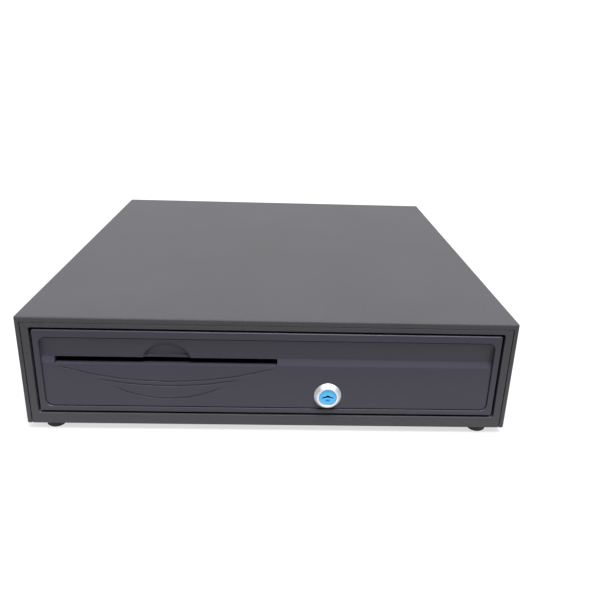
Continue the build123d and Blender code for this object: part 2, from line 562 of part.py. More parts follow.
def make_drawer_front():
    """The moulded front: a hollow shell with a sunk field, media slot, thumb recess and lock hole."""
    body = block(-FRONT_HALF, FRONT_HALF, 0, FRONT_DEPTH, FRONT_LOW, FRONT_TOP)
    body = fillet(body.edges().filter_by(Axis.Y), OPENING_CORNER)
    body = fillet(body.faces().sort_by(Axis.Y)[0].edges(), FRONT_ROUND)
    inner_half = FRONT_HALF - FRONT_WALL
    hollow = rounded_prism(inner_half, FRONT_LOW + FRONT_WALL, FRONT_TOP - FRONT_WALL, 2.0,
                           FRONT_WALL, FRONT_DEPTH + 1)
    kept = field_cut(FRONT_WALL, -FRONT_HALF, FRONT_HALF)
    kept &= block(-FRONT_HALF, FRONT_HALF, -1, FRONT_DEPTH, FIELD_LOW, FIELD_TOP)
    body -= hollow - kept
    low = SLOT_Z - SLOT_HEIGHT / 2
    high = SLOT_Z + SLOT_HEIGHT / 2
    for x, h in BOSS_PLACES:
        body += rod_y(x, h, 4.0, FRONT_WALL - 0.5, FRONT_DEPTH)
    body += block(SLOT_LEFT - 1.6, SLOT_RIGHT + 1.6, FRONT_WALL - 0.5, FRONT_DEPTH, low - 1.6, high + 1.6)
    thumb = SLOT_X - THUMB_RADIUS - 2, SLOT_X + THUMB_RADIUS + 2
    backing = rod_y(SLOT_X, SLOT_Z - THUMB_BELOW_SLOT, THUMB_RADIUS + 2,
                    FRONT_WALL - 0.5, HOLLOW_DEPTH + THUMB_SINK + FRONT_WALL)
    body += backing & block(*thumb, 0, FRONT_DEPTH, high, FRONT_TOP - FRONT_WALL)
    body += rod_y(LOCK_X, LOCK_Z, BARREL_RADIUS + 3, FRONT_WALL - 0.5, FRONT_DEPTH)
    field = rounded_prism(FIELD_HALF, FIELD_LOW, FIELD_TOP, FIELD_CORNER, -3, FRONT_DEPTH)
    body -= field_cut(0, -FIELD_HALF - 1, FIELD_HALF + 1) & field
    outline = rounded_prism(FIELD_HALF, FIELD_LOW, FIELD_TOP, FIELD_CORNER, -1, 1.9)
    outline -= rounded_prism(FIELD_HALF - FIELD_LINE, FIELD_LOW + FIELD_LINE, FIELD_TOP - FIELD_LINE,
                             FIELD_CORNER - FIELD_LINE, -2, 3)
    body -= outline
    body -= block(SLOT_LEFT, SLOT_RIGHT, -2, FRONT_DEPTH + 1, low, high)
    for x, h in BOSS_PLACES:
        body -= rod_y(x, h, FRONT_SCREW_RADIUS, FRONT_DEPTH - 5, FRONT_DEPTH + 1)
    # thumb recess over the slot: the upper part of a disc
    recess = rod_y(SLOT_X, SLOT_Z - THUMB_BELOW_SLOT, THUMB_RADIUS, -2, HOLLOW_DEPTH + THUMB_SINK)
    body -= recess & block(*thumb, -2, FRONT_DEPTH, high, FRONT_TOP)
    body -= rod_y(LOCK_X, LOCK_Z, BARREL_RADIUS + HOLE_PLAY, -2, FRONT_DEPTH + 1)
    body -= rod_y(LOCK_X, LOCK_Z, BEZEL_RADIUS + HOLE_PLAY, -2, SHOULDER_DEPTH + 0.3)
    for sag, radius, half_span in SMILE_GROOVES:
        body -= arc_groove(low - sag + radius, radius, half_span, 0.9, SHOULDER_DEPTH + 0.4)
    return body


def make_front_screws():
    places = [(x, PAN_FRONT + SHEET, h) for x, h in BOSS_PLACES]
    return place_screws(places, HEAD_BACK, 3.2, 2.0, FRONT_SCREW_RADIUS, SHEET + 4.5)


def make_striker_plate():
    flange = block(PEG_X - 10, PEG_X + 10, PAN_BACK, PAN_BACK + 1.2, LEVER_Z + 6, LEVER_Z + 16)
    tongue = block(PEG_X - 6, PEG_X + 6, PAN_BACK, PEG_DEPTH + 4, LEVER_Z + 6, LEVER_Z + 7.5)
    return flange + tongue - rod_z(PEG_X, PEG_DEPTH, PEG_RADIUS, LEVER_Z, LEVER_Z + 9)


def make_striker_peg():
    shank = rod_z(PEG_X, PEG_DEPTH, PEG_RADIUS, LEVER_Z - 3, LEVER_Z + 7.5)
    head = rod_z(PEG_X, PEG_DEPTH, PEG_RADIUS + 1.2, LEVER_Z + 7.5, LEVER_Z + 8.7)
    return shank + head


# ---------------------------------------------------------------- lock
def make_lock_body():
    """Chrome bezel with a sloping rim, on the barrel that goes through both front walls."""
    with BuildSketch(Plane.XY) as half:
        with BuildLine():
            back = SHOULDER_DEPTH + 0.3
            Polyline((ROTOR_RADIUS + RUNNING, -LOCK_PROUD), (BEZEL_FACE_RADIUS, -LOCK_PROUD),
                     (BEZEL_FACE_RADIUS + 0.5, -LOCK_PROUD + 0.5), (BEZEL_RADIUS, back - 1.4),
                     (BEZEL_RADIUS, back), (BARREL_RADIUS, back), (BARREL_RADIUS, BARREL_END),
                     (ROTOR_RADIUS + RUNNING, BARREL_END), (ROTOR_RADIUS + RUNNING, -LOCK_PROUD))
        make_face()
    return Pos(LOCK_X, row_y(0), row_z(LOCK_Z)) * revolve(half.sketch, Axis.Y)


def make_lock_nut():
    across_corners = BARREL_RADIUS + 4.5
    place = Plane((LOCK_X, row_y(PAN_FRONT + SHEET), row_z(LOCK_Z)), x_dir=(1, 0, 0), z_dir=(0, 1, 0))
    nut = extrude(place * RegularPolygon(across_corners, 6), 4.0)
    return nut - rod_y(LOCK_X, LOCK_Z, BARREL_RADIUS, PAN_FRONT, PAN_FRONT + 8)


def make_lock_rotor():
    """The turning plug, with a winged keyway that lies level at standby."""
    face = 0.6 - LOCK_PROUD
    rotor = rod_y(LOCK_X, LOCK_Z, ROTOR_RADIUS, face, BARREL_END + 0.5)
    rotor = fillet(rotor.edges().sort_by(Axis.Y)[0], 0.4)
    half = KEYWAY_HALF
    outline = [
        (-half, -1.3), (-half, -0.2), (-half * 0.45, 0.8), (0, 2.0), (half * 0.45, 0.8),
        (half, -0.2), (half, -1.3), (half * 0.4, -0.8), (0, -0.3), (-half * 0.4, -0.8),
    ]
    points = [(LOCK_X + x, row_y(face - 1), row_z(LOCK_Z + z)) for x, z in outline]
    keyway = extrude(make_face(Polyline(points, close=True)), 9.0, dir=(0, 1, 0))
    stem = block(LOCK_X - 1, LOCK_X + 1, BARREL_END + 0.5, BARREL_END + 3, LOCK_Z - 2, LOCK_Z + 2)
    return rotor - keyway + stem


def make_lock_cam():
    """A flat cam that points right at standby and down when locked."""
    depth = BARREL_END + 0.5
    cam = block(LOCK_X, LOCK_X + CAM_REACH, depth, depth + 2, LOCK_Z - 5, LOCK_Z + 5)
    cam = fillet(cam.edges().filter_by(Axis.Y).group_by(Axis.X)[-1], 3.0)
    cam += rod_y(LOCK_X, LOCK_Z, 6.5, depth, depth + 2)
    return cam - block(LOCK_X - 1, LOCK_X + 1, depth - 1, depth + 3, LOCK_Z - 2, LOCK_Z + 2)


def make_tail_rod():
    """A rod from the lock to behind the drawer; its finger pushes the latch lever off by hand."""
    start = BARREL_END + 2.5
    rod = rod_y(LOCK_X, LOCK_Z, ROD_RADIUS, start, FINGER_DEPTH)
    place = Plane((LOCK_X, row_y(start), row_z(LOCK_Z)), x_dir=(1, 0, 0), z_dir=(0, 1, 0))
    rod += extrude(place * RegularPolygon(5.5, 6), 5.0)
    rod += block(LOCK_X - 3, LOCK_X + 3, FINGER_DEPTH - 3, FINGER_DEPTH, LOCK_Z - 3, LOCK_Z + 12)
    return rod - block(LOCK_X - 1, LOCK_X + 1, start - 1, start + 0.5, LOCK_Z - 2, LOCK_Z + 2)


# ---------------------------------------------------------------- till
def make_till_tray():
    """The moulded till: bill compartments behind, and a well in front for the coin tray."""
    till = block(-TILL_HALF, TILL_HALF, TILL_FRONT, TILL_BACK, TILL_FLOOR, PAN_TOP + TILL_RIM_THICK)
    till = fillet(till.edges().filter_by(Axis.Z), 3.0)
    rim = block(-TILL_HALF - TILL_RIM, TILL_HALF + TILL_RIM, TILL_FRONT - TILL_RIM, TILL_BACK + TILL_RIM,
                PAN_TOP, PAN_TOP + TILL_RIM_THICK)
    till += fillet(rim.edges().filter_by(Axis.Z), 6.0)
    floor = TILL_FLOOR + TILL_WALL
    well_back = BILL_FRONT - TILL_WALL
    well = block(-TILL_HALF + TILL_WALL, TILL_HALF - TILL_WALL, TILL_FRONT + TILL_WALL, well_back,
                 floor, CASE_HEIGHT)
    till -= fillet(well.edges().filter_by(Axis.Z), 2.0)
    for index in range(BILL_COUNT):
        x = bill_middle(index)
        bay = block(x - BILL_WIDTH / 2, x + BILL_WIDTH / 2, BILL_FRONT, TILL_BACK - TILL_WALL,
                    floor, CASE_HEIGHT)
        till -= fillet(bay.edges().filter_by(Axis.Z), 1.5)
    till -= rod_x(CLIP_DEPTH, CLIP_Z, CLIP_ROD_RADIUS, -TILL_HALF + 1, TILL_HALF - 1)
    return till


def bill_middle(index):
    """X of a bill compartment's middle, counted from the left."""
    return (index - (BILL_COUNT - 1) / 2) * (BILL_WIDTH + TILL_WALL)


def make_coin_tray():
    """A lift-out tray of coin cups with scooped floors."""
    floor = TILL_FLOOR + TILL_WALL
    tray = block(-COIN_HALF, COIN_HALF, COIN_FRONT, COIN_BACK, floor, PAN_TOP + 1)
    tray = fillet(tray.edges().filter_by(Axis.Z), 2.5)
    for column in range(COIN_COLUMNS):
        x = -COIN_HALF + TILL_WALL + column * (CUP_WIDTH + TILL_WALL)
        for row in range(COIN_ROWS):
            depth = COIN_FRONT + TILL_WALL + row * (CUP_LENGTH + TILL_WALL)
            cup = block(x, x + CUP_WIDTH, depth, depth + CUP_LENGTH, floor + TILL_WALL, CASE_HEIGHT)
            scoop = min(COIN_SCOOP, CUP_LENGTH / 2 - 1)
            tray -= fillet(cup.edges().filter_by(Axis.X).group_by(Axis.Z)[0], scoop)
    return tray


def make_clip_rod():
    return rod_x(CLIP_DEPTH, CLIP_Z, CLIP_ROD_RADIUS, -TILL_HALF + 1, TILL_HALF - 1)


def make_bill_clip(index):
    """A bill clip: a hub on the rod, an arm that slopes down forwards and a turned-up pad."""
    x = bill_middle(index)
    left = x - CLIP_WIDTH / 2
    right = x + CLIP_WIDTH / 2
    run = (CLIP_LENGTH ** 2 - CLIP_DROP ** 2) ** 0.5
    tip_depth = CLIP_DEPTH - run
    low = CLIP_Z - CLIP_DROP
    outline = [
        (CLIP_DEPTH, CLIP_Z + 1.2), (tip_depth, low + 1.2), (tip_depth - 12, low + 0.4),
        (tip_depth - 16, low + 3.2), (tip_depth - 16, low + 1.2), (tip_depth - 12, low - 1.6),
        (tip_depth, low - 1.2), (CLIP_DEPTH, CLIP_Z - 1.2),
    ]
    clip = profile_x(outline, left, right) + rod_x(CLIP_DEPTH, CLIP_Z, 3.5, left, right)
    return clip - rod_x(CLIP_DEPTH, CLIP_Z, CLIP_ROD_RADIUS + RUNNING, left - 1, right + 1)


def make_clip_springs():
    """A torsion spring beside each clip's hub, with one leg on the clip and one on the till's wall."""
    springs = []
    for index in range(BILL_COUNT):
        start = bill_middle(index) + CLIP_WIDTH / 2 + 0.5
        coil = rod_x(CLIP_DEPTH, CLIP_Z, 3.0, start, start + 6)
        coil -= rod_x(CLIP_DEPTH, CLIP_Z, CLIP_ROD_RADIUS + 0.4, start - 1, start + 7)
        leg = rod_z(start + 5.4, CLIP_DEPTH + 2.6, 0.4, CLIP_Z - 12, CLIP_Z)
        springs.append(coil + leg)
    return Compound(springs)


# ---------------------------------------------------------------- latch
def lever_place(x, y):
    """A point of the latch lever, given from its pivot when engaged, as (x, depth) when released."""
    turn = radians(-LATCH_SWING)
    return (PIVOT_X + x * cos(turn) - y * sin(turn), PIVOT_DEPTH + x * sin(turn) + y * cos(turn))


def make_latch_lever():
    """A flat lever: the hook that holds the striker's peg, and an arm for the lock's finger."""
    reach = -LEVER_REACH
    outline = [
        (-3.5, 0), (-3.5, reach), (12.3, reach), (12.3, reach + 3.5), (3.5, reach + 3.5), (3.5, -10.5),
        (17.8, -10.5), (17.8, -20.9), (21.3, -20.9), (21.3, -7.0), (3.5, -7.0), (3.5, 0),
    ]
    lever = plate_z([lever_place(x, y) for x, y in outline], LEVER_Z, LEVER_Z + LEVER_THICK)
    lever += rod_z(PIVOT_X, PIVOT_DEPTH, 6.5, LEVER_Z, LEVER_Z + LEVER_THICK)
    lever -= rod_z(PIVOT_X, PIVOT_DEPTH, ROD_RADIUS + RUNNING, LEVER_Z - 1, LEVER_Z + 4)
    return lever - rod_z(PIN_X, PIN_DEPTH, LEVER_PIN_RADIUS, LEVER_Z - 1, LEVER_Z + 4)


def make_lever_pin():
    reach = PLUNGER_RADIUS + 0.4
    return rod_z(PIN_X, PIN_DEPTH, LEVER_PIN_RADIUS, COIL_Z - reach, COIL_Z + reach)


def make_latch_pivot_pin():
    shoulder = rod_z(PIVOT_X, PIVOT_DEPTH, 4.0, SHELF_TOP, LEVER_Z - 0.2)
    return shoulder + rod_z(PIVOT_X, PIVOT_DEPTH, ROD_RADIUS, LEVER_Z - 0.2, LEVER_Z + 6)


def make_pivot_clip():
    ring = rod_z(PIVOT_X, PIVOT_DEPTH, 4.6, LEVER_Z + 3.0, LEVER_Z + 3.8)
    ring -= rod_z(PIVOT_X, PIVOT_DEPTH, ROD_RADIUS, LEVER_Z + 2, LEVER_Z + 5)
    return ring - block(PIVOT_X - 1.5, PIVOT_X + 1.5, PIVOT_DEPTH + 1, PIVOT_DEPTH + 6,
                        LEVER_Z + 2, LEVER_Z + 5)


def make_solenoid_frame():
    front = COIL_DEPTH - COIL_RADIUS
    back = COIL_DEPTH + COIL_RADIUS
    low = SHELF_TOP
    yoke = block(YOKE_LEFT, YOKE_RIGHT, front, back, low, low + YOKE_SHEET)
    yoke += block(YOKE_LEFT, YOKE_LEFT + YOKE_SHEET, front, back, low, COIL_Z + COIL_RADIUS)
    yoke += block(YOKE_RIGHT - YOKE_SHEET, YOKE_RIGHT, front, back, low, COIL_Z + COIL_RADIUS)
    yoke -= rod_x(COIL_DEPTH, COIL_Z, PLUNGER_RADIUS + 0.3, YOKE_RIGHT - 2 * YOKE_SHEET, YOKE_RIGHT + 1)
    end_x, end_depth, end_height = LEAD_POINTS[-1]
    return yoke - rod_x(end_depth, end_height, LEAD_RADIUS + HOLE_PLAY, YOKE_LEFT - 1, YOKE_LEFT + 2)


def make_solenoid_coil():
    """Wound bobbin: two cheeks with the winding between, bored for the plunger."""
    left = YOKE_LEFT + YOKE_SHEET
    right = YOKE_RIGHT - YOKE_SHEET
    coil = rod_x(COIL_DEPTH, COIL_Z, COIL_RADIUS - WINDING_STEP, left, right)
    coil += rod_x(COIL_DEPTH, COIL_Z, COIL_RADIUS, left, left + CHEEK)
    coil += rod_x(COIL_DEPTH, COIL_Z, COIL_RADIUS, right - CHEEK, right)
    return coil - rod_x(COIL_DEPTH, COIL_Z, PLUNGER_RADIUS + 0.3, left + 4, right + 1)


def make_solenoid_plunger():
    """The iron plunger; its forked end straddles the lever and its pin holes are slotted."""
    end = PIN_X + 3.2
    plunger = rod_x(COIL_DEPTH, COIL_Z, PLUNGER_RADIUS, YOKE_LEFT + 9, end)
    plunger -= block(PIVOT_X - 13.5, end + 1, COIL_DEPTH - 5, COIL_DEPTH + 5,
                     LEVER_Z - 0.3, LEVER_Z + LEVER_THICK + 0.3)
    wide = LEVER_PIN_RADIUS + RUNNING
    long = LEVER_PIN_RADIUS + PIN_PLAY
    return plunger - block(PIN_X - wide, PIN_X + wide, PIN_DEPTH - long, PIN_DEPTH + long,
                           COIL_Z - 6, COIL_Z + 6)


def bracket_screw_places():
    """Seats of the latch bracket's screws, on its two feet."""
    left = YOKE_LEFT - 9
    right = PIVOT_X + 17
    return [(x, PIVOT_DEPTH + offset, 3.5) for x in (left, right) for offset in (-15, 1)]


def make_latch_bracket():
    """A shelf on two legs, with a turned-out foot on each."""
    front = PIVOT_DEPTH - 23
    back = PIVOT_DEPTH + 8
    left = YOKE_LEFT - 3
    right = PIVOT_X + 11
    low = 2 * SHEET
    bracket = block(left, right, front, back, SHELF_TOP - SHELF_SHEET, SHELF_TOP)
    bracket += block(left, left + SHELF_SHEET, front, back, low, SHELF_TOP)
    bracket += block(right - SHELF_SHEET, right, front, back, low, SHELF_TOP)
    bracket += block(left - 12, left, front, back, low, low + SHELF_SHEET)
    bracket += block(right, right + 12, front, back, low, low + SHELF_SHEET)
    for x, d, h in bracket_screw_places():
        bracket -= rod_z(x, d, SCREW_RADIUS, 0, 6)
    for x, d, h in yoke_screw_places():
        bracket -= rod_z(x, d, 1.2, SHELF_TOP - 3, SHELF_TOP + 1)
    return bracket


def yoke_screw_places():
    """Seats of the solenoid's screws, under the bracket's shelf."""
    middle = (YOKE_LEFT + YOKE_RIGHT) / 2
    return [(middle + offset, COIL_DEPTH, SHELF_TOP - SHELF_SHEET) for offset in (-7, 7)]


def make_latch_screws():
    feet = place_screws(bracket_screw_places(), HEAD_UP, SCREW_HEAD_RADIUS, SCREW_HEAD, SCREW_RADIUS, 2.5)
    yoke = place_screws(yoke_screw_places(), HEAD_DOWN, 2.4, 1.6, 1.2, SHELF_SHEET)
    return Compound(feet.solids() + yoke.solids())


def make_latch_spring():
    """The lever's return spring, drawn as the sleeve that its coils fill, with its end on the lever."""
    height = LEVER_Z + LEVER_THICK + 1.2
    spring = rod_x(PIVOT_DEPTH - 1.5, height, 2.0, PIVOT_X + 7.5, PIVOT_X + 24)
    spring -= rod_x(PIVOT_DEPTH - 1.5, height, 1.2, PIVOT_X + 7, PIVOT_X + 25)
    return spring


def make_ejector_spring():
    """The compression spring that pushes the drawer out, drawn as the sleeve that its coils fill."""
    height = LEVER_Z + 9
    start = PAN_BACK + 0.3
    spring = rod_y(SPRING_X, height, 5.5, start, DEPTH - 2 * SHEET)
    return spring - rod_y(SPRING_X, height, 4.1, start - 1, DEPTH)


# ---------------------------------------------------------------- wiring
def make_modular_socket():
    body = block(SOCKET_X - 6.5, SOCKET_X + 6.5, DEPTH - 16, DEPTH - 0.4, SOCKET_Z - 6, SOCKET_Z + 6)
    body -= block(SOCKET_X - 4.9, SOCKET_X + 4.9, DEPTH - 12, DEPTH, SOCKET_Z - 3.2, SOCKET_Z + 4.0)
    return body - block(SOCKET_X - 1.8, SOCKET_X + 1.8, DEPTH - 8, DEPTH, SOCKET_Z - 4.8, SOCKET_Z - 3.0)


def make_socket_contacts():
    """Six contact wires under the socket's roof."""
    wires = []
    for index in range(6):
        x = SOCKET_X + (index - 2.5) * 1.02
        wires.append(block(x - 0.2, x + 0.2, DEPTH - 12, DEPTH - 4, SOCKET_Z + 3.2, SOCKET_Z + 4.0))
    return Compound(wires)


def lead_path():
    """The lead's centre line: straight runs joined by the largest tangent arcs that they allow."""
    points = [Vector(x, row_y(d), row_z(h)) for x, d, h in LEAD_POINTS]
    runs = [after - before for before, after in zip(points, points[1:])]
    radii = []
    for before, after in zip(runs, runs[1:]):
        half_turn = radians(before.get_angle(after)) / 2
        radii.append(0.45 * min(before.length, after.length) / tan(half_turn))
    print("lead bend radii, mm:", [round(radius, 1) for radius in radii])
    return FilletPolyline(*points, radius=radii)


def make_signal_lead():
    path = lead_path()
    start = Plane(origin=path @ 0, z_dir=path % 0)
    lead = sweep(start * Circle(LEAD_RADIUS), path=path)
    print("lead length, mm:", round(path.length, 2), "volume over section x length:",
          round(lead.volume / (pi * LEAD_RADIUS ** 2 * path.length), 5))
    return lead


def make_lead_clip():
    x, depth, height = CLIP_AT
    clip = block(x - 3.5, x + 3.5, depth - 3, DEPTH - 2 * SHEET, height - 3, height + 3)
    clip = fillet(clip.edges().filter_by(Axis.X).group_by(Axis.Y)[0], 1.2)
    return clip - rod_x(depth, height, LEAD_RADIUS + RUNNING, x - 5, x + 5)


# ---------------------------------------------------------------- all nodes
def all_nodes():
    nodes = {
        "top_cover": make_top_cover(),
        "base_plate": make_base_plate(),
        "front_frame": make_front_frame(),
        "rear_panel": make_rear_panel(),
        "case_screws": make_case_screws(),
        "foot_screws": make_foot_screws(),
        "housing_rail_screws": make_housing_rail_screws(),
        "drawer_rail_screws": make_drawer_rail_screws(),
        "drawer_pan": make_drawer_pan(),
        "drawer_front": make_drawer_front(),
        "front_screws": make_front_screws(),
        "striker_plate": make_striker_plate(),
        "striker_peg": make_striker_peg(),
        "lock_body": make_lock_body(),
        "lock_nut": make_lock_nut(),
        "lock_rotor": make_lock_rotor(),
        "lock_cam": make_lock_cam(),
        "tail_rod": make_tail_rod(),
        "till_tray": make_till_tray(),
        "coin_tray": make_coin_tray(),
        "clip_rod": make_clip_rod(),
        "clip_springs": make_clip_springs(),
        "latch_lever": make_latch_lever(),
        "lever_pin": make_lever_pin(),
        "latch_pivot_pin": make_latch_pivot_pin(),
        "pivot_clip": make_pivot_clip(),
        "solenoid_frame": make_solenoid_frame(),
        "solenoid_coil": make_solenoid_coil(),
        "solenoid_plunger": make_solenoid_plunger(),
        "latch_bracket": make_latch_bracket(),
        "latch_screws": make_latch_screws(),
        "latch_spring": make_latch_spring(),
        "ejector_spring": make_ejector_spring(),
        "modular_socket": make_modular_socket(),
        "socket_contacts": make_socket_contacts(),
        "signal_lead": make_signal_lead(),
        "lead_clip": make_lead_clip(),
    }
    for name, (x, depth) in FOOT_PLACES.items():
        nodes[f"foot_{name}"] = make_foot(x, depth)
    slide = {
        "slide_bracket": make_slide_bracket(),
        "housing_rail": make_housing_rail(),
        "middle_rail": make_middle_rail(),
        "drawer_rail": make_drawer_rail(),
        "outer_ball_cage": make_ball_cage(BRACKET_FACE - 1.6, OUTER_BALL_HEIGHT),
        "inner_ball_cage": make_ball_cage(BRACKET_FACE - 4.3, INNER_BALL_HEIGHT),
    }
    for name, shape in slide.items():
        nodes[f"{name}_right"] = shape
        nodes[f"{name}_left"] = mirrored(shape)
    for index in range(BILL_COUNT):
        nodes[f"bill_clip_{index + 1}"] = make_bill_clip(index)
    return nodes


os.makedirs("parts", exist_ok=True)
for node, shape in all_nodes().items():
    export_step(shape, f"parts/{node}.step")
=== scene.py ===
# %% [markdown]
# # A cash drawer for a cafe counter
# The real thing is a low box of powder-coated steel with a moulded plastic front. Every part has its place
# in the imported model, so this lesson loads that model as a fixed frame and only dresses it: finer shapes
# where the eye needs them, and a finish for every surface.
# %% Load the fixed frame
import json
import math
import bmesh
import bpy
import numpy as np
from mathutils import Matrix, Vector

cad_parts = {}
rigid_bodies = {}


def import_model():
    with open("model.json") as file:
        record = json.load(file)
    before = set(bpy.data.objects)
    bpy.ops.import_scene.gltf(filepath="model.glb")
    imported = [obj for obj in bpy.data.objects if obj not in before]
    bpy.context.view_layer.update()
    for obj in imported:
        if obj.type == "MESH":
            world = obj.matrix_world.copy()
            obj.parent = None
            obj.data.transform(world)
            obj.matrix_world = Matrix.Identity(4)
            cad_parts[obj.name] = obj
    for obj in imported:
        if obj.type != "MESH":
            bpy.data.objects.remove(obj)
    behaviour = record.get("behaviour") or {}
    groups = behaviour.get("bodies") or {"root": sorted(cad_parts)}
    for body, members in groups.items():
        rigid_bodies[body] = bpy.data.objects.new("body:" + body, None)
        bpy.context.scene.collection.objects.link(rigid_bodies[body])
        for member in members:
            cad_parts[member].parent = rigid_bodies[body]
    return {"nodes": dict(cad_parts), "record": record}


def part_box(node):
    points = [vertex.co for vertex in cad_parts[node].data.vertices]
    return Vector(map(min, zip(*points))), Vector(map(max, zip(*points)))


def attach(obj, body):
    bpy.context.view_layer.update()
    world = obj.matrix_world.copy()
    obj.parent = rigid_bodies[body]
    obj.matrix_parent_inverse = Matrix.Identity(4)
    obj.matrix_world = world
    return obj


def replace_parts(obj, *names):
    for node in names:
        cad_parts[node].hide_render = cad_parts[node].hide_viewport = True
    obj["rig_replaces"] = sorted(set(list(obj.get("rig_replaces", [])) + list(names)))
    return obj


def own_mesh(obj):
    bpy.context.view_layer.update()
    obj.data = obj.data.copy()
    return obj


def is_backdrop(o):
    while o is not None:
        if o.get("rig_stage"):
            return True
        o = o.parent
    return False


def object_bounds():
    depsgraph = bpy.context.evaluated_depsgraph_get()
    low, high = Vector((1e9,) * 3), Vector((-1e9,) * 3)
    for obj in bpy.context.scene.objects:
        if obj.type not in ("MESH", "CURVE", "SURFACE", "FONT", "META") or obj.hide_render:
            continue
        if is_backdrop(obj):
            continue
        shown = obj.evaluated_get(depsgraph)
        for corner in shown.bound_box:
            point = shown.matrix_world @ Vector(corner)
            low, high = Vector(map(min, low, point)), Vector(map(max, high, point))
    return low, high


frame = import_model()
cad_low, cad_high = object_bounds()
NODES = frame["nodes"]
BODY_OF = {node: body for body, nodes in frame["record"]["behaviour"]["bodies"].items() for node in nodes}
MM = 0.001
print("loaded", len(NODES), "pieces; size in mm", [round(v / MM, 1) for v in cad_high - cad_low])

# %% [markdown]
# ## Datum planes
# The lock stands 3.2 mm proud of the case's front face and the rubber feet hold the case 6 mm up. Reading
# both planes from the frame keeps every later number a plain drawing size: x across, depth behind the front
# face, and height over the case's lower edge.
# %% Turn drawing sizes into places
LOCK_PROUD = 3.2
FRONT_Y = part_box("lock_body")[0].y + LOCK_PROUD * MM
LOWER_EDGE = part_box("top_cover")[0].z


def at(x, depth, height):
    """A place in metres, from drawing sizes in millimetres."""
    return Vector((x * MM, FRONT_Y + depth * MM, LOWER_EDGE + height * MM))


print("front face at y", round(FRONT_Y, 4), "lower edge at z", round(LOWER_EDGE, 4))

# %% [markdown]
# ## Camera
# A low box shows itself best from above its front edge. A camera is a place, a direction and a lens;
# building its axes by hand from azimuth, elevation and roll leaves nothing to an aiming constraint.
# %% Set the camera
AZIMUTH, ELEVATION, ROLL = 0.0385, 0.3605, 0.0321
CAMERA_PLACE = at(5.27, -461.4, 297.5)


def camera_axes(azimuth, elevation, roll):
    """Right, up and back vectors of a camera that looks along +Y, turned, tipped down and rolled."""
    forward = Vector((math.sin(azimuth) * math.cos(elevation), math.cos(azimuth) * math.cos(elevation),
                      -math.sin(elevation)))
    right = Vector((math.cos(azimuth), -math.sin(azimuth), 0))
    up = right.cross(forward)
    turned_right = right * math.cos(roll) + up * math.sin(roll)
    return turned_right, up * math.cos(roll) - right * math.sin(roll), -forward


lens = bpy.data.cameras.new("product_camera")
lens.lens = 37.776
lens.sensor_width = 36.0
lens.shift_y = -0.0167
camera = bpy.data.objects.new("product_camera", lens)
right, up, back = camera_axes(AZIMUTH, ELEVATION, ROLL)
camera.matrix_world = Matrix.Translation(CAMERA_PLACE) @ Matrix((right, up, back)).transposed().to_4x4()
bpy.context.scene.collection.objects.link(camera)
bpy.context.scene.camera = camera
print("camera at", [round(v, 3) for v in camera.location])

# %% [markdown]
# ## Floor and light
# The object stands on an opal light table that ends just in front of it, under a high, soft key light. The
# key makes the top sheet several times brighter than the front, and leaves the hollow over the slot in
# shade. The table glows, so almost no shadow is left under the case. The room is bright behind the object
# and dark in front of it, so upright faces mirror less light the higher they are. Looked at directly, it is
# white all round.
# %% A helper that adds one shader node
def linear(hex_colour):
    """An sRGB hex colour as the linear colour that the shader sockets take."""
    parts = [int(hex_colour[i:i + 2], 16) / 255 for i in (1, 3, 5)]
    return tuple(p / 12.92 if p <= 0.04045 else ((p + 0.055) / 1.055) ** 2.4 for p in parts) + (1.0,)


def add(tree, kind, settings, inputs):
    """Adds one node. settings are its properties; inputs give a socket a value or another node's output."""
    node = tree.nodes.new(kind)
    for name, value in settings.items():
        setattr(node, name, value)
    for key, value in inputs.items():
        if isinstance(value, bpy.types.NodeSocket):
            tree.links.new(value, node.inputs[key])
        else:
            node.inputs[key].default_value = value
    return node


def blank(name):
    """A new material with an empty node tree."""
    material = bpy.data.materials.new(name)
    material.use_nodes = True
    material.node_tree.nodes.clear()
    return material, material.node_tree


# %% The table, the room and the key light
table_mesh = bpy.data.meshes.new("table")
TABLE_SIDE, TABLE_FRONT, TABLE_BACK = 6, at(0, -200, 0).y, 8
table_mesh.from_pydata([(-TABLE_SIDE, TABLE_FRONT, 0), (TABLE_SIDE, TABLE_FRONT, 0), (TABLE_SIDE, TABLE_BACK, 0),
                        (-TABLE_SIDE, TABLE_BACK, 0)], [], [(0, 1, 2, 3)])
table = bpy.data.objects.new("table", table_mesh)
bpy.context.scene.collection.objects.link(table)
table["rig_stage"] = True
table_white, tree = blank("opal_light_table")
grain = add(tree, "ShaderNodeTexNoise", {}, {"Scale": 300.0, "Detail": 3.0})
bump = add(tree, "ShaderNodeBump", {}, {"Height": grain.outputs["Fac"], "Strength": 0.05, "Distance": 0.0002})
shader = add(tree, "ShaderNodeBsdfPrincipled", {}, {"Base Color": linear("#6E6E6E"), "Roughness": 0.6,
                                                      "Emission Color": linear("#FFFFFF"),
                                                      "Emission Strength": 0.68, "Normal": bump.outputs[0]})
add(tree, "ShaderNodeOutputMaterial", {}, {"Surface": shader.outputs[0]})
table_mesh.materials.append(table_white)

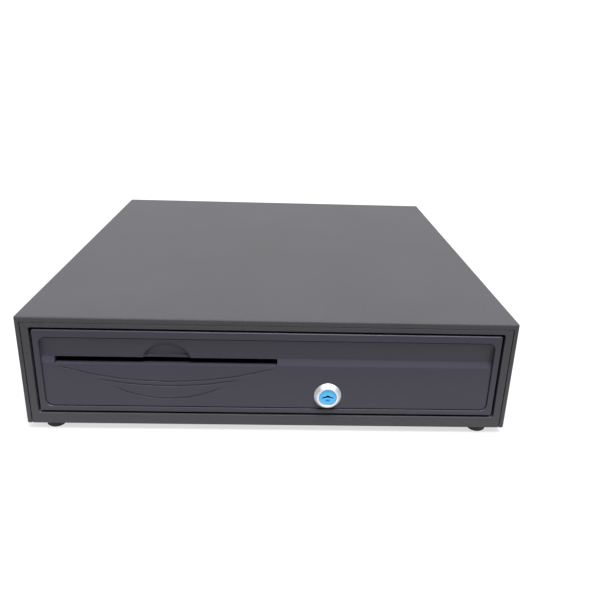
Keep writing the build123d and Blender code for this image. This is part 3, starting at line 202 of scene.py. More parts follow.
ROOM_DARK, ROOM_BRIGHT = 0.06, 1.12   # strength of the light from the front and from behind
world = bpy.data.worlds.new("white_room")
bpy.context.scene.world = world
world.use_nodes = True
sky = world.node_tree
sky.nodes.clear()
look = add(sky, "ShaderNodeTexCoord", {}, {})
axes = add(sky, "ShaderNodeSeparateXYZ", {}, {"Vector": look.outputs["Generated"]})
bright = add(sky, "ShaderNodeMapRange", {"interpolation_type": "SMOOTHSTEP"},
             {"Value": axes.outputs["Y"], "From Min": -0.5, "From Max": 0.5, "To Min": ROOM_DARK,
              "To Max": ROOM_BRIGHT})
room = add(sky, "ShaderNodeBackground", {}, {"Color": linear("#FFFFFF"), "Strength": bright.outputs[0]})
backdrop = add(sky, "ShaderNodeBackground", {}, {"Color": linear("#FFFFFF"), "Strength": ROOM_BRIGHT})
seen = add(sky, "ShaderNodeLightPath", {}, {}).outputs["Is Camera Ray"]
surround = add(sky, "ShaderNodeMixShader", {}, {0: seen, 1: room.outputs[0], 2: backdrop.outputs[0]})
add(sky, "ShaderNodeOutputWorld", {}, {"Surface": surround.outputs[0]})
key = bpy.data.lights.new("overhead_key", "SUN")
key.energy = 7.0
key.angle = math.radians(30)
key_lamp = bpy.data.objects.new("overhead_key", key)
toward = Vector((0.14, -0.32, 0.95))
key_lamp.matrix_world = Matrix.Translation((0, 0, 2)) @ toward.to_track_quat("Z", "Y").to_matrix().to_4x4()
bpy.context.scene.collection.objects.link(key_lamp)
bpy.context.scene.view_settings.view_transform = "Standard"

# %% [markdown]
# ## Powder-coated steel
# The case is folded sheet, dipped, dried and sprayed with polyester powder that flows into a skin when it
# is baked. It leaves a fine orange peel, with lumps under a millimetre across, and the film is never quite
# even: over a hand's width it drifts a little lighter and bluer. A noise for each scale gives both, with no
# image.
# %% Make the case's powder coat
case_coat, tree = blank("polyester_powder_coat")
place = add(tree, "ShaderNodeTexCoord", {}, {}).outputs["Object"]
PEEL = 1 / (0.9 * MM)      # drawn a little coarser than real, so that it shows at arm's length
CLOUD = 1 / (75 * MM)
cloud = add(tree, "ShaderNodeTexNoise", {}, {"Vector": place, "Scale": CLOUD, "Detail": 2.0,
                                              "Roughness": 0.45})
cloud_tint = add(tree, "ShaderNodeMix", {"data_type": "RGBA"},
                 {"Factor": cloud.outputs["Fac"], "A": linear("#403F41"), "B": linear("#454449")})
speck = add(tree, "ShaderNodeTexNoise", {}, {"Vector": place, "Scale": PEEL, "Detail": 2.0})
speck_range = add(tree, "ShaderNodeMapRange", {}, {"Value": speck.outputs["Fac"], "From Min": 0.3, "From Max": 0.7,
                                                     "To Min": 0.86, "To Max": 1.12})
tint = add(tree, "ShaderNodeMix", {"data_type": "RGBA", "blend_type": "MULTIPLY"},
           {"Factor": 1.0, "A": cloud_tint.outputs["Result"], "B": speck_range.outputs[0]})
peel_bump = add(tree, "ShaderNodeBump", {}, {"Height": speck.outputs["Fac"], "Strength": 0.35,
                                               "Distance": 0.05 * MM})
rough = add(tree, "ShaderNodeMapRange", {}, {"Value": speck.outputs["Fac"], "To Min": 0.5, "To Max": 0.62})
shader = add(tree, "ShaderNodeBsdfPrincipled", {}, {"Base Color": tint.outputs["Result"], "IOR": 1.5,
                                                      "Roughness": rough.outputs[0], "Specular IOR Level": 0.15,
                                                      "Normal": peel_bump.outputs[0]})
add(tree, "ShaderNodeOutputMaterial", {}, {"Surface": shader.outputs[0]})
print("case coat: peel", round(1000 / PEEL, 2), "mm, clouds", round(1000 / CLOUD), "mm")

# %% Make the drawer pan's darker coat
pan_coat, tree = blank("black_epoxy_powder_coat")
place = add(tree, "ShaderNodeTexCoord", {}, {}).outputs["Object"]
speck = add(tree, "ShaderNodeTexNoise", {}, {"Vector": place, "Scale": PEEL, "Detail": 2.0})
tint = add(tree, "ShaderNodeMix", {"data_type": "RGBA"},
           {"Factor": speck.outputs["Fac"], "A": linear("#1B1B1D"), "B": linear("#27272A")})
peel_bump = add(tree, "ShaderNodeBump", {}, {"Height": speck.outputs["Fac"], "Strength": 0.4,
                                               "Distance": 0.05 * MM})
shader = add(tree, "ShaderNodeBsdfPrincipled", {}, {"Base Color": tint.outputs["Result"], "IOR": 1.5,
                                                      "Roughness": 0.42, "Normal": peel_bump.outputs[0]})
add(tree, "ShaderNodeOutputMaterial", {}, {"Surface": shader.outputs[0]})

# %% [markdown]
# ## Moulded plastics
# The front is injection-moulded ABS from a spark-eroded tool, which leaves a very fine even grain and a
# satin gloss. The till is the same plastic in black, with flow marks along its length. The clips are
# acetal, smoother and greasier to the eye.
# %% Make the ABS of the drawer front
front_abs, tree = blank("spark_grained_abs")
place = add(tree, "ShaderNodeTexCoord", {}, {}).outputs["Object"]
GRAIN = 1 / (0.35 * MM)
grain = add(tree, "ShaderNodeTexNoise", {}, {"Vector": place, "Scale": GRAIN, "Detail": 1.0})
drift = add(tree, "ShaderNodeTexNoise", {}, {"Vector": place, "Scale": 1 / (90 * MM), "Detail": 1.0})
tint = add(tree, "ShaderNodeMix", {"data_type": "RGBA"},
           {"Factor": drift.outputs["Fac"], "A": linear("#34333D"), "B": linear("#383742")})
grain_bump = add(tree, "ShaderNodeBump", {}, {"Height": grain.outputs["Fac"], "Strength": 0.25,
                                                "Distance": 0.02 * MM})
rough = add(tree, "ShaderNodeMapRange", {}, {"Value": grain.outputs["Fac"], "To Min": 0.4, "To Max": 0.5})
shader = add(tree, "ShaderNodeBsdfPrincipled", {}, {"Base Color": tint.outputs["Result"], "IOR": 1.53,
                                                      "Roughness": rough.outputs[0], "Specular IOR Level": 0.3,
                                                      "Normal": grain_bump.outputs[0]})
add(tree, "ShaderNodeOutputMaterial", {}, {"Surface": shader.outputs[0]})

# %% Make the till's black ABS and the clips' acetal
till_abs, tree = blank("black_moulded_abs")
place = add(tree, "ShaderNodeTexCoord", {}, {}).outputs["Object"]
stretched = add(tree, "ShaderNodeMapping", {}, {"Vector": place, "Scale": (1.0, 0.12, 1.0)})
flow = add(tree, "ShaderNodeTexNoise", {}, {"Vector": stretched.outputs[0], "Scale": 1 / (12 * MM),
                                              "Detail": 3.0})
grain = add(tree, "ShaderNodeTexNoise", {}, {"Vector": place, "Scale": 1 / (0.5 * MM), "Detail": 1.0})
tint = add(tree, "ShaderNodeMix", {"data_type": "RGBA"},
           {"Factor": flow.outputs["Fac"], "A": linear("#19191B"), "B": linear("#222225")})
grain_bump = add(tree, "ShaderNodeBump", {}, {"Height": grain.outputs["Fac"], "Strength": 0.3,
                                                "Distance": 0.03 * MM})
rough = add(tree, "ShaderNodeMapRange", {}, {"Value": flow.outputs["Fac"], "To Min": 0.34, "To Max": 0.5})
shader = add(tree, "ShaderNodeBsdfPrincipled", {}, {"Base Color": tint.outputs["Result"], "IOR": 1.53,
                                                      "Roughness": rough.outputs[0],
                                                      "Normal": grain_bump.outputs[0]})
add(tree, "ShaderNodeOutputMaterial", {}, {"Surface": shader.outputs[0]})

clip_acetal, tree = blank("grey_acetal")
place = add(tree, "ShaderNodeTexCoord", {}, {}).outputs["Object"]
flow = add(tree, "ShaderNodeTexNoise", {}, {"Vector": place, "Scale": 1 / (9 * MM), "Detail": 2.0})
tint = add(tree, "ShaderNodeMix", {"data_type": "RGBA"},
           {"Factor": flow.outputs["Fac"], "A": linear("#3A3B3F"), "B": linear("#46474C")})
rough = add(tree, "ShaderNodeMapRange", {}, {"Value": flow.outputs["Fac"], "To Min": 0.24, "To Max": 0.36})
shader = add(tree, "ShaderNodeBsdfPrincipled", {}, {"Base Color": tint.outputs["Result"], "IOR": 1.48,
                                                      "Roughness": rough.outputs[0]})
add(tree, "ShaderNodeOutputMaterial", {}, {"Surface": shader.outputs[0]})

# %% [markdown]
# ## Metals
# Slides, brackets and the latch are zinc-plated: a cool grey with soft patches a few millimetres wide where
# the plating grew at different speeds. Springs and pins are bright drawn wire, screws are black oxide, and
# the lock's bezel is chromed die-casting. A metal's colour is its reflection, so these need no diffuse
# colour at all.
# %% Make the zinc plate
zinc, tree = blank("bright_zinc_plate")
place = add(tree, "ShaderNodeTexCoord", {}, {}).outputs["Object"]
patch = add(tree, "ShaderNodeTexVoronoi", {"feature": "SMOOTH_F1"}, {"Vector": place, "Scale": 1 / (5 * MM)})
roll = add(tree, "ShaderNodeMapping", {}, {"Vector": place, "Scale": (1.0, 0.06, 1.0)})
drawn = add(tree, "ShaderNodeTexNoise", {}, {"Vector": roll.outputs[0], "Scale": 1 / (0.8 * MM), "Detail": 2.0})
tint = add(tree, "ShaderNodeMix", {"data_type": "RGBA"},
           {"Factor": patch.outputs["Distance"], "A": linear("#C3C6CC"), "B": linear("#A9ACB3")})
rough = add(tree, "ShaderNodeMapRange", {}, {"Value": drawn.outputs["Fac"], "To Min": 0.24, "To Max": 0.42})
line_bump = add(tree, "ShaderNodeBump", {}, {"Height": drawn.outputs["Fac"], "Strength": 0.2,
                                               "Distance": 0.02 * MM})
shader = add(tree, "ShaderNodeBsdfPrincipled", {}, {"Base Color": tint.outputs["Result"], "Metallic": 1.0,
                                                      "Roughness": rough.outputs[0],
                                                      "Normal": line_bump.outputs[0]})
add(tree, "ShaderNodeOutputMaterial", {}, {"Surface": shader.outputs[0]})

# %% Make the bright steel, black oxide, chrome and die-cast zinc
METALS = {
    # name: light and dark sRGB, smoothest and roughest, size of the pattern in mm
    "drawn_spring_steel": ("#BDBDBD", "#9A9A9C", 0.18, 0.3, 1.5),
    "black_oxide_steel": ("#343436", "#222224", 0.35, 0.5, 0.6),
    "satin_chrome_plate": ("#F4F4F5", "#EAEBEE", 0.5, 0.58, 2.5),
    "die_cast_zinc": ("#A2A3A6", "#8C8D90", 0.35, 0.5, 1.0),
    "gold_flash": ("#E6C27A", "#D9B268", 0.15, 0.25, 1.0),
    "ball_bearing_steel": ("#C9C9CB", "#B4B4B8", 0.07, 0.12, 2.0),
}
metals = {}
for name, (light, dark, smooth, dull, pattern) in METALS.items():
    metals[name], tree = blank(name)
    place = add(tree, "ShaderNodeTexCoord", {}, {}).outputs["Object"]
    wear = add(tree, "ShaderNodeTexNoise", {}, {"Vector": place, "Scale": 1 / (pattern * MM), "Detail": 3.0})
    tint = add(tree, "ShaderNodeMix", {"data_type": "RGBA"},
               {"Factor": wear.outputs["Fac"], "A": linear(light), "B": linear(dark)})
    rough = add(tree, "ShaderNodeMapRange", {}, {"Value": wear.outputs["Fac"], "To Min": smooth, "To Max": dull})
    shader = add(tree, "ShaderNodeBsdfPrincipled", {}, {"Base Color": tint.outputs["Result"], "Metallic": 1.0,
                                                          "Roughness": rough.outputs[0]})
    add(tree, "ShaderNodeOutputMaterial", {}, {"Surface": shader.outputs[0]})
print("metals:", sorted(metals))

# %% [markdown]
# ## Rubber, tape, nylon and the lead's jacket
# The soft and dull things differ mostly in how they scatter a highlight. Rubber has a broad dim one with a
# dusty bloom, tape a tighter one, PVC one in between.
# %% Make the dull finishes
DULL = {
    # name: two sRGB colours, smoothest and roughest, size of the pattern in mm, IOR
    "moulded_rubber": ("#121212", "#1C1C1B", 0.6, 0.85, 1.2, 1.52),
    "black_nylon": ("#161617", "#1F1F21", 0.35, 0.5, 0.8, 1.53),
    "soft_pvc": ("#1A1A1C", "#212124", 0.4, 0.55, 2.0, 1.53),
}
dull = {}
for name, (dark, light, smooth, rougher, pattern, ior) in DULL.items():
    dull[name], tree = blank(name)
    place = add(tree, "ShaderNodeTexCoord", {}, {}).outputs["Object"]
    bloom = add(tree, "ShaderNodeTexNoise", {}, {"Vector": place, "Scale": 1 / (pattern * MM), "Detail": 3.0})
    tint = add(tree, "ShaderNodeMix", {"data_type": "RGBA"},
               {"Factor": bloom.outputs["Fac"], "A": linear(dark), "B": linear(light)})
    rough = add(tree, "ShaderNodeMapRange", {}, {"Value": bloom.outputs["Fac"], "To Min": smooth,
                                                   "To Max": rougher})
    skin = add(tree, "ShaderNodeBump", {}, {"Height": bloom.outputs["Fac"], "Strength": 0.2,
                                              "Distance": 0.03 * MM})
    shader = add(tree, "ShaderNodeBsdfPrincipled", {}, {"Base Color": tint.outputs["Result"], "IOR": ior,
                                                          "Roughness": rough.outputs[0],
                                                          "Normal": skin.outputs[0]})
    add(tree, "ShaderNodeOutputMaterial", {}, {"Surface": shader.outputs[0]})

# %% Make the coil: black bobbin cheeks with yellow tape between
coil_tape, tree = blank("polyester_coil_tape")
coil_low, coil_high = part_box("solenoid_coil")
place = add(tree, "ShaderNodeTexCoord", {}, {}).outputs["Object"]
along = add(tree, "ShaderNodeSeparateXYZ", {}, {"Vector": place})
CHEEK = 1.55 * MM
past_left = add(tree, "ShaderNodeMath", {"operation": "GREATER_THAN"},
                {0: along.outputs["X"], 1: coil_low.x + CHEEK})
past_right = add(tree, "ShaderNodeMath", {"operation": "LESS_THAN"},
                 {0: along.outputs["X"], 1: coil_high.x - CHEEK})
wound = add(tree, "ShaderNodeMath", {"operation": "MULTIPLY"},
            {0: past_left.outputs[0], 1: past_right.outputs[0]})
turns = add(tree, "ShaderNodeTexWave", {"wave_type": "BANDS", "bands_direction": "X"},
            {"Vector": place, "Scale": 1 / (6.4 * MM), "Distortion": 0.4})
tape = add(tree, "ShaderNodeMix", {"data_type": "RGBA"},
           {"Factor": turns.outputs["Fac"], "A": linear("#B8860F"), "B": linear("#D9A91C")})
tint = add(tree, "ShaderNodeMix", {"data_type": "RGBA"},
           {"Factor": wound.outputs[0], "A": linear("#19191B"), "B": tape.outputs["Result"]})
turn_bump = add(tree, "ShaderNodeBump", {}, {"Height": turns.outputs["Fac"], "Strength": 0.3,
                                               "Distance": 0.1 * MM})
shader = add(tree, "ShaderNodeBsdfPrincipled", {}, {"Base Color": tint.outputs["Result"], "IOR": 1.57,
                                                      "Roughness": 0.33, "Normal": turn_bump.outputs[0]})
add(tree, "ShaderNodeOutputMaterial", {}, {"Surface": shader.outputs[0]})

# %% [markdown]
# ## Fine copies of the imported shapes
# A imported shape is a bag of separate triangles, which shade as facets. Merging them, dissolving the flat
# ones and smoothing up to a sharp angle gives a clean surface; a small bevel on the edges of pressed and
# moulded parts then catches the light the way a real edge does. The copy stands for its node, so sizes
# never change.
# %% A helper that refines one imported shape
def refined(node, material, bevel=0.0, sharp=32.0):
    """A merged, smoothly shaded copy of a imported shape, with its edges rounded by bevel millimetres."""
    shape = bmesh.new()
    shape.from_mesh(NODES[node].data)
    bmesh.ops.remove_doubles(shape, verts=shape.verts, dist=0.002 * MM)
    bmesh.ops.dissolve_limit(shape, angle_limit=math.radians(0.6), verts=shape.verts, edges=shape.edges)
    for edge in shape.edges:
        edge.smooth = len(edge.link_faces) == 2 and edge.calc_face_angle(math.pi) < math.radians(sharp)
    for face in shape.faces:
        face.smooth = True
    points = [v.co[:] for v in shape.verts]
    shape.verts.index_update()
    faces = [[v.index for v in face.verts] for face in shape.faces]
    hard = {tuple(sorted(v.index for v in e.verts)) for e in shape.edges if not e.smooth}
    shape.free()
    mesh = bpy.data.meshes.new(f"{node}_fine")
    mesh.from_pydata(points, [], faces)
    mesh.shade_smooth()
    marks = mesh.attributes.new("sharp_edge", "BOOLEAN", "EDGE")
    for edge in mesh.edges:
        marks.data[edge.index].value = tuple(sorted(edge.vertices)) in hard
    piece = bpy.data.objects.new(f"{node}_fine", mesh)
    bpy.context.scene.collection.objects.link(piece)
    mesh.materials.append(material)
    if bevel:
        rounding = piece.modifiers.new("edge_rounding", "BEVEL")
        rounding.width = bevel * MM
        rounding.segments = 2
        rounding.limit_method = "ANGLE"
        rounding.angle_limit = math.radians(50)
        rounding.harden_normals = True
    weights = piece.modifiers.new("face_weights", "WEIGHTED_NORMAL")
    weights.keep_sharp = True
    finish(piece, node)
    return piece


def finish(piece, node):
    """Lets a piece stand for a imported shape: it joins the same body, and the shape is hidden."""
    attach(piece, BODY_OF[node])
    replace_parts(piece, node)


# %% [markdown]
# ## Folded sheet metal
# The case is four pressings: a wrap-round cover, a base plate, a front frame and a back panel. Their fold
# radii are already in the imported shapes; a 0.2 mm rounding on the cut edges is what a punched and coated
# sheet has.
# %% Dress the case and the drawer pan
for node in ("top_cover", "base_plate", "front_frame", "rear_panel"):
    refined(node, case_coat, bevel=0.2)
refined("drawer_pan", pan_coat, bevel=0.2)
print("case pressings dressed")

# %% [markdown]
# ## The moulded front
# The front is a shell with a sunk field, a hollow over the slot, a scooped thumb recess and three
# smile-shaped grooves. Booleans could cut these, but everything on it is a depth behind one plane, so a
# height field says it best: one function gives the depth at any point, and a grid that is finer near the
# lines carries it. A second grid behind makes the wall thickness, and the open edges are joined, so the
# shell is closed.
# %% Sizes of the front, in millimetres
FRONT_HALF, FRONT_LOW, FRONT_TOP, FRONT_BACK = 190.1, 11.7, 85.7, 12.0
OUTER_CORNER, OUTER_ROUND, WALL, THINNEST = 1.8, 1.1, 2.5, 1.2
FIELD_HALF, FIELD_LOW, FIELD_TOP, FIELD_CORNER = 185.0, 16.2, 79.1, 5.5
FIELD_LINE, FIELD_LINE_DEEP, FIELD_STEP = 0.9, 1.9, 6.0
SLOT_LEFT, SLOT_RIGHT, SLOT_LOW, SLOT_HIGH = -174.7, 6.3, 55.2, 60.8
SLOT_X = (SLOT_LEFT + SLOT_RIGHT) / 2
BAND_TOP, THROAT_WALL = 61.5, 1.7
THUMB_UP, THUMB_RADIUS, THUMB_SILL = 52.2, 21.8, 64.0
THUMB_DEEP, THUMB_FOOT = 6.3, 5.0   # depth at the sill, and down at the slot
THUMB_BEAD, THUMB_BEAD_WIDTH = 0.35, 0.45
LOCK_X, LOCK_UP, LOCK_HOLE, LOCK_BOSS = 49.0, 28.9, 9.4, 12.0
SMILES = ((15.2, 299, 92), (19.2, 290, 60), (30.9, 97, 48))   # sag under the slot, radius, half span
SMILE_WIDTH, SMILE_DEPTH, SMILE_TAPER = 0.85, 0.7, 9.0


# %% The depth of the front's surface
def step(value, start, end):
    """A smooth rise from 0 at start to 1 at end."""
    t = np.clip((value - start) / (end - start), 0, 1)
    return t * t * (3 - 2 * t)


def inside(x, h, half, low, high, corner):
    """Distance inwards from a rounded rectangle's outline; negative outside."""
    middle, tall = (low + high) / 2, (high - low) / 2
    dx = np.abs(x) - (half - corner)
    dh = np.abs(h - middle) - (tall - corner)
    outside = np.hypot(np.maximum(dx, 0), np.maximum(dh, 0))
    return corner - outside - np.minimum(np.maximum(dx, dh), 0)


def field_profile(h):
    """The sunk field from top to bottom: a hollow down to the slot's band, a ledge, then a nearly flat apron."""
    knots_h, knots_d = (80.1, 71.8, BAND_TOP), (0.9, 3.1, 4.2)
    hollow = sum(d * np.prod([(h - o) / (k - o) for o in knots_h if o != k], axis=0)
                 for k, d in zip(knots_h, knots_d))
    ledge = 4.2 + (1.2 - 4.2) * (BAND_TOP - h) / (BAND_TOP - SLOT_LOW)
    apron = 1.2 + (0.6 - 1.2) * (SLOT_LOW - h) / (SLOT_LOW - 15.2)
    return np.where(h >= BAND_TOP, hollow, np.where(h >= SLOT_LOW, ledge, apron))


def field_depth(h):
    """The profile with its bends eased, as a mould's are."""
    return (field_profile(h - 0.5) + field_profile(h) + field_profile(h + 0.5)) / 3


def front_depth(x, h):
    """How far the front's surface lies behind the front plane, in millimetres."""
    edge = np.clip(inside(x, h, FRONT_HALF, FRONT_LOW, FRONT_TOP, OUTER_CORNER), 0, OUTER_ROUND)
    rounding = OUTER_ROUND - np.sqrt(np.maximum(OUTER_ROUND ** 2 - (OUTER_ROUND - edge) ** 2, 0))
    into = inside(x, h, FIELD_HALF, FIELD_LOW, FIELD_TOP, FIELD_CORNER)
    sunk = field_depth(h)
    outline = FIELD_LINE_DEEP * (1 - step(into, FIELD_LINE - 0.15, FIELD_LINE + 0.25))
    depth = rounding + step(into, -0.15, 0.25) * np.maximum(sunk, outline)
    for sag, radius, half_span in SMILES:
        away = np.abs(np.hypot(x - SLOT_X, h - (SLOT_LOW - sag + radius)) - radius)
        taper = 1 - step(np.abs(x - SLOT_X), half_span - SMILE_TAPER, half_span)
        groove = SMILE_DEPTH * (0.5 + 0.5 * np.cos(np.pi * np.clip(away / SMILE_WIDTH, 0, 1)))
        depth = depth + np.where(h < SLOT_LOW, groove * taper, 0)
    scoop = THUMB_RADIUS - np.hypot(x - SLOT_X, h - THUMB_UP)
    down = np.clip((THUMB_UP + THUMB_RADIUS - h) / (THUMB_UP + THUMB_RADIUS - THUMB_SILL), 0, 1)
    forward = np.clip((THUMB_SILL - h) / (THUMB_SILL - SLOT_HIGH), 0, 1)
    floor = sunk + 0.3 + (THUMB_DEEP - 0.3 - sunk) * down - (THUMB_DEEP - THUMB_FOOT) * forward
    bead = THUMB_BEAD * np.exp(-((scoop + THUMB_BEAD) / THUMB_BEAD_WIDTH) ** 2)
    recess = np.maximum(floor - sunk, 0) * step(scoop, 0, 1.8) - bead
    return depth + np.where(h > SLOT_HIGH - 0.05, recess, 0)


def back_depth(x, h):
    """The same for the shell's inner side: a wall behind the field, and ribs that reach the back."""
    edge = inside(x, h, FRONT_HALF, FRONT_LOW, FRONT_TOP, OUTER_CORNER)
    skin = WALL + np.where(edge > FIELD_STEP, field_depth(h), 0)
    thumb = np.hypot(x - SLOT_X, h - THUMB_UP) < THUMB_RADIUS + 2
    skin = np.where(thumb & (h > SLOT_HIGH), THUMB_DEEP + WALL, skin)
    throat = ((x > SLOT_LEFT - THROAT_WALL) & (x < SLOT_RIGHT + THROAT_WALL)
              & (h > SLOT_LOW - THROAT_WALL) & (h < SLOT_HIGH + THROAT_WALL))
    lock_boss = np.hypot(x - LOCK_X, h - LOCK_UP) < LOCK_BOSS
    return np.where((edge < WALL + 0.05) | throat | lock_boss, FRONT_BACK, skin)


# %% The grid that carries it
def grid_lines(*stops):
    """Grid lines through the stops, each (where, spacing up to the next stop)."""
    lines = [stops[0][0]]
    for (start, spacing), (end, _) in zip(stops, stops[1:]):
        lines.extend(np.linspace(start, end, max(1, round((end - start) / spacing)) + 1)[1:])
    return np.array(lines)


columns = grid_lines((-FRONT_HALF, 0.25), (-188.6, 1.0), (-185.4, 0.2), (-183.8, 0.6), (-178.0, 1.2),
                     (SLOT_LEFT - 1.6, 1.6), (SLOT_LEFT, 1.2), (-108.0, 0.45), (-60.0, 1.2), (SLOT_RIGHT, 1.6),
                     (SLOT_RIGHT + 1.6, 2.5), (35.0, 0.8), (63.0, 6.0), (178.0, 0.6), (183.8, 0.2), (185.4, 1.0),
                     (188.6, 0.25), (FRONT_HALF, 0))
rows = grid_lines((FRONT_LOW, 0.25), (13.2, 1.0), (15.8, 0.2), (17.4, 0.42), (SLOT_LOW - 1.6, 0.4),
                  (SLOT_LOW, 0.8), (SLOT_HIGH, 0.3), (62.6, 0.42), (77.4, 0.25), (79.6, 1.0), (83.2, 0.7),
                  (84.2, 0.25), (FRONT_TOP, 0))
print("front grid:", len(columns), "by", len(rows), "lines")


# %% Build the front as one closed shell
def shell_from_grid(name, columns, rows, front, behind, hole):
    """A closed mesh between two depth functions over one grid, without the cells that hole() picks."""
    x, h = np.meshgrid(columns, rows, indexing="ij")
    corner_x, corner_h = FRONT_HALF - OUTER_CORNER, (FRONT_TOP - FRONT_LOW) / 2 - OUTER_CORNER
    middle = (FRONT_TOP + FRONT_LOW) / 2
    dx, dh = np.abs(x) - corner_x, np.abs(h - middle) - corner_h
    reach = np.hypot(dx, dh)
    pull = np.where((dx > 0) & (dh > 0) & (reach > OUTER_CORNER), OUTER_CORNER / np.maximum(reach, 1e-9), 1.0)
    x = np.where(pull < 1, np.sign(x) * (corner_x + dx * pull), x)
    h = np.where(pull < 1, middle + np.sign(h - middle) * (corner_h + dh * pull), h)
    near = front(x, h)
    far = np.maximum(behind(x, h), near + THINNEST)
    count = x.size
    points = [at(px, d, ph) for d_grid in (near, far)
              for px, d, ph in zip(x.ravel(), d_grid.ravel(), h.ravel())]
    mid_x = (columns[:-1] + columns[1:])[:, None] / 2
    mid_h = (rows[:-1] + rows[1:])[None, :] / 2
    kept = ~hole(mid_x + 0 * mid_h, mid_h + 0 * mid_x)
    wide, tall = kept.shape
    faces = []
    for i in range(wide):
        for j in range(tall):
            if not kept[i, j]:
                continue
            loop = [i * (tall + 1) + j, (i + 1) * (tall + 1) + j, (i + 1) * (tall + 1) + j + 1,
                    i * (tall + 1) + j + 1]
            faces.append(loop)
            faces.append([count + v for v in reversed(loop)])
            for side, (di, dj) in enumerate(((0, -1), (1, 0), (0, 1), (-1, 0))):
                ni, nj = i + di, j + dj
                if 0 <= ni < wide and 0 <= nj < tall and kept[ni, nj]:
                    continue
                a, b = loop[side], loop[(side + 1) % 4]
                faces.append([b, a, count + a, count + b])
    mesh = bpy.data.meshes.new(name)
    mesh.from_pydata(points, [], faces)
    return mesh


def front_hole(x, h):
    """True in the slot and in the lock's hole."""
    slot = (x > SLOT_LEFT) & (x < SLOT_RIGHT) & (h > SLOT_LOW) & (h < SLOT_HIGH)
    return slot | (np.hypot(x - LOCK_X, h - LOCK_UP) < LOCK_HOLE)


front_mesh = shell_from_grid("drawer_front_moulding", columns, rows, front_depth, back_depth, front_hole)
shape = bmesh.new()
shape.from_mesh(front_mesh)
bmesh.ops.remove_doubles(shape, verts=shape.verts, dist=0.01 * MM)
shape.normal_update()
shape.faces.index_update()
behind = {f.index for f in shape.faces if f.normal.y > 0.2}
# The lists keep the mesh's own order, so every run dissolves the same edges.
back_verts = [v for v in shape.verts if any(f.index in behind for f in v.link_faces)]
back_edges = [e for e in shape.edges if e.link_faces and all(f.index in behind for f in e.link_faces)]
bmesh.ops.dissolve_limit(shape, angle_limit=math.radians(1.0), verts=back_verts, edges=back_edges)
for edge in shape.edges:
    edge.smooth = len(edge.link_faces) == 2 and edge.calc_face_angle(math.pi) < math.radians(50)
for face in shape.faces:
    face.smooth = True
shape.to_mesh(front_mesh)
shape.free()
front = bpy.data.objects.new("drawer_front_moulding", front_mesh)
bpy.context.scene.collection.objects.link(front)
front_mesh.materials.append(front_abs)
finish(front, "drawer_front")
front_mesh.calc_loop_triangles()
print("front:", len(front_mesh.loop_triangles), "triangles")

# %% [markdown]
# ## The lock
# A cam lock is turned metal: a chromed bezel on a barrel, a plug that turns in it and a cam on the plug's
# end. A turned shape is a profile swept round an axis. Ninety-six steps keep the bright ring smooth in
# close views.
# %% Turn the bezel and barrel
def turned(name, profile, centre_x, centre_up, material, steps=96):
    """A closed ring: (radius, depth) points swept round an axis that runs along Y."""
    points, faces = [], []
    for i in range(steps):
        angle = 2 * math.pi * i / steps
        points += [at(centre_x + r * math.cos(angle), d, centre_up + r * math.sin(angle)) for r, d in profile]
    n = len(profile)
    for i in range(steps):
        for k in range(n):
            a, b = i * n + k, i * n + (k + 1) % n
            c, d = ((i + 1) % steps) * n + (k + 1) % n, ((i + 1) % steps) * n + k
            faces.append((a, b, c, d))
    mesh = bpy.data.meshes.new(name)
    mesh.from_pydata(points, [], faces)
    shape = bmesh.new()
    shape.from_mesh(mesh)
    bmesh.ops.recalc_face_normals(shape, faces=shape.faces)
    shape.to_mesh(mesh)
    shape.free()
    mesh.shade_smooth()
    mesh.materials.append(material)
    piece = bpy.data.objects.new(name, mesh)
    bpy.context.scene.collection.objects.link(piece)
    rounding = piece.modifiers.new("edge_rounding", "BEVEL")
    rounding.width = 0.22 * MM
    rounding.segments = 3
    rounding.limit_method = "ANGLE"
    rounding.angle_limit = math.radians(25)
    rounding.harden_normals = True
    return piece


BEZEL = [(7.45, -3.2), (8.9, -3.2), (9.4, -2.7), (11.4, 0.1), (11.4, 1.5), (9.0, 1.5), (9.0, 20.0), (7.45, 20.0)]
bezel = turned("lock_bezel_and_barrel", BEZEL, LOCK_X, LOCK_UP, metals["satin_chrome_plate"])
finish(bezel, "lock_body")

# %% Colour the plug: a blue cap over die-cast zinc
plug_finish, tree = blank("blue_acetal_key_cap")
place = add(tree, "ShaderNodeTexCoord", {}, {}).outputs["Object"]
split = add(tree, "ShaderNodeSeparateXYZ", {}, {"Vector": place})
CAP_END = FRONT_Y - 1.9 * MM
cap = add(tree, "ShaderNodeMath", {"operation": "LESS_THAN"}, {0: split.outputs["Y"], 1: CAP_END})
swirl = add(tree, "ShaderNodeTexNoise", {}, {"Vector": place, "Scale": 1 / (2.5 * MM), "Detail": 2.0})
blue = add(tree, "ShaderNodeMix", {"data_type": "RGBA"},
           {"Factor": swirl.outputs["Fac"], "A": linear("#3FA3DC"), "B": linear("#4DB0E6")})
# The darker blue oval just under the keyway is painted shade, not a colour of the cap.
painted_shade_place = add(tree, "ShaderNodeMapping", {"vector_type": "TEXTURE"},
                {"Vector": place, "Location": at(LOCK_X, -2.6, LOCK_UP - 2.7),
                 "Scale": (2.7 * MM, 1.0, 1.15 * MM)})
painted_shade_flat = add(tree, "ShaderNodeVectorMath", {"operation": "MULTIPLY"},
               {0: painted_shade_place.outputs[0], 1: (1.0, 0.0, 1.0)})
painted_shade_far = add(tree, "ShaderNodeVectorMath", {"operation": "LENGTH"}, {0: painted_shade_flat.outputs[0]})
painted_shade_oval = add(tree, "ShaderNodeMapRange", {}, {"Value": painted_shade_far.outputs["Value"], "From Min": 0.45, "From Max": 1.0,
                                             "To Min": 1.0, "To Max": 0.0})
# Mixes the painted shade's dark blue into the cap's own blue.
face = add(tree, "ShaderNodeMix", {"data_type": "RGBA"},
           {"Factor": painted_shade_oval.outputs[0], "A": blue.outputs["Result"], "B": linear("#0B5AA3")})
tint = add(tree, "ShaderNodeMix", {"data_type": "RGBA"},
           {"Factor": cap.outputs[0], "A": linear("#2B2C30"), "B": face.outputs["Result"]})
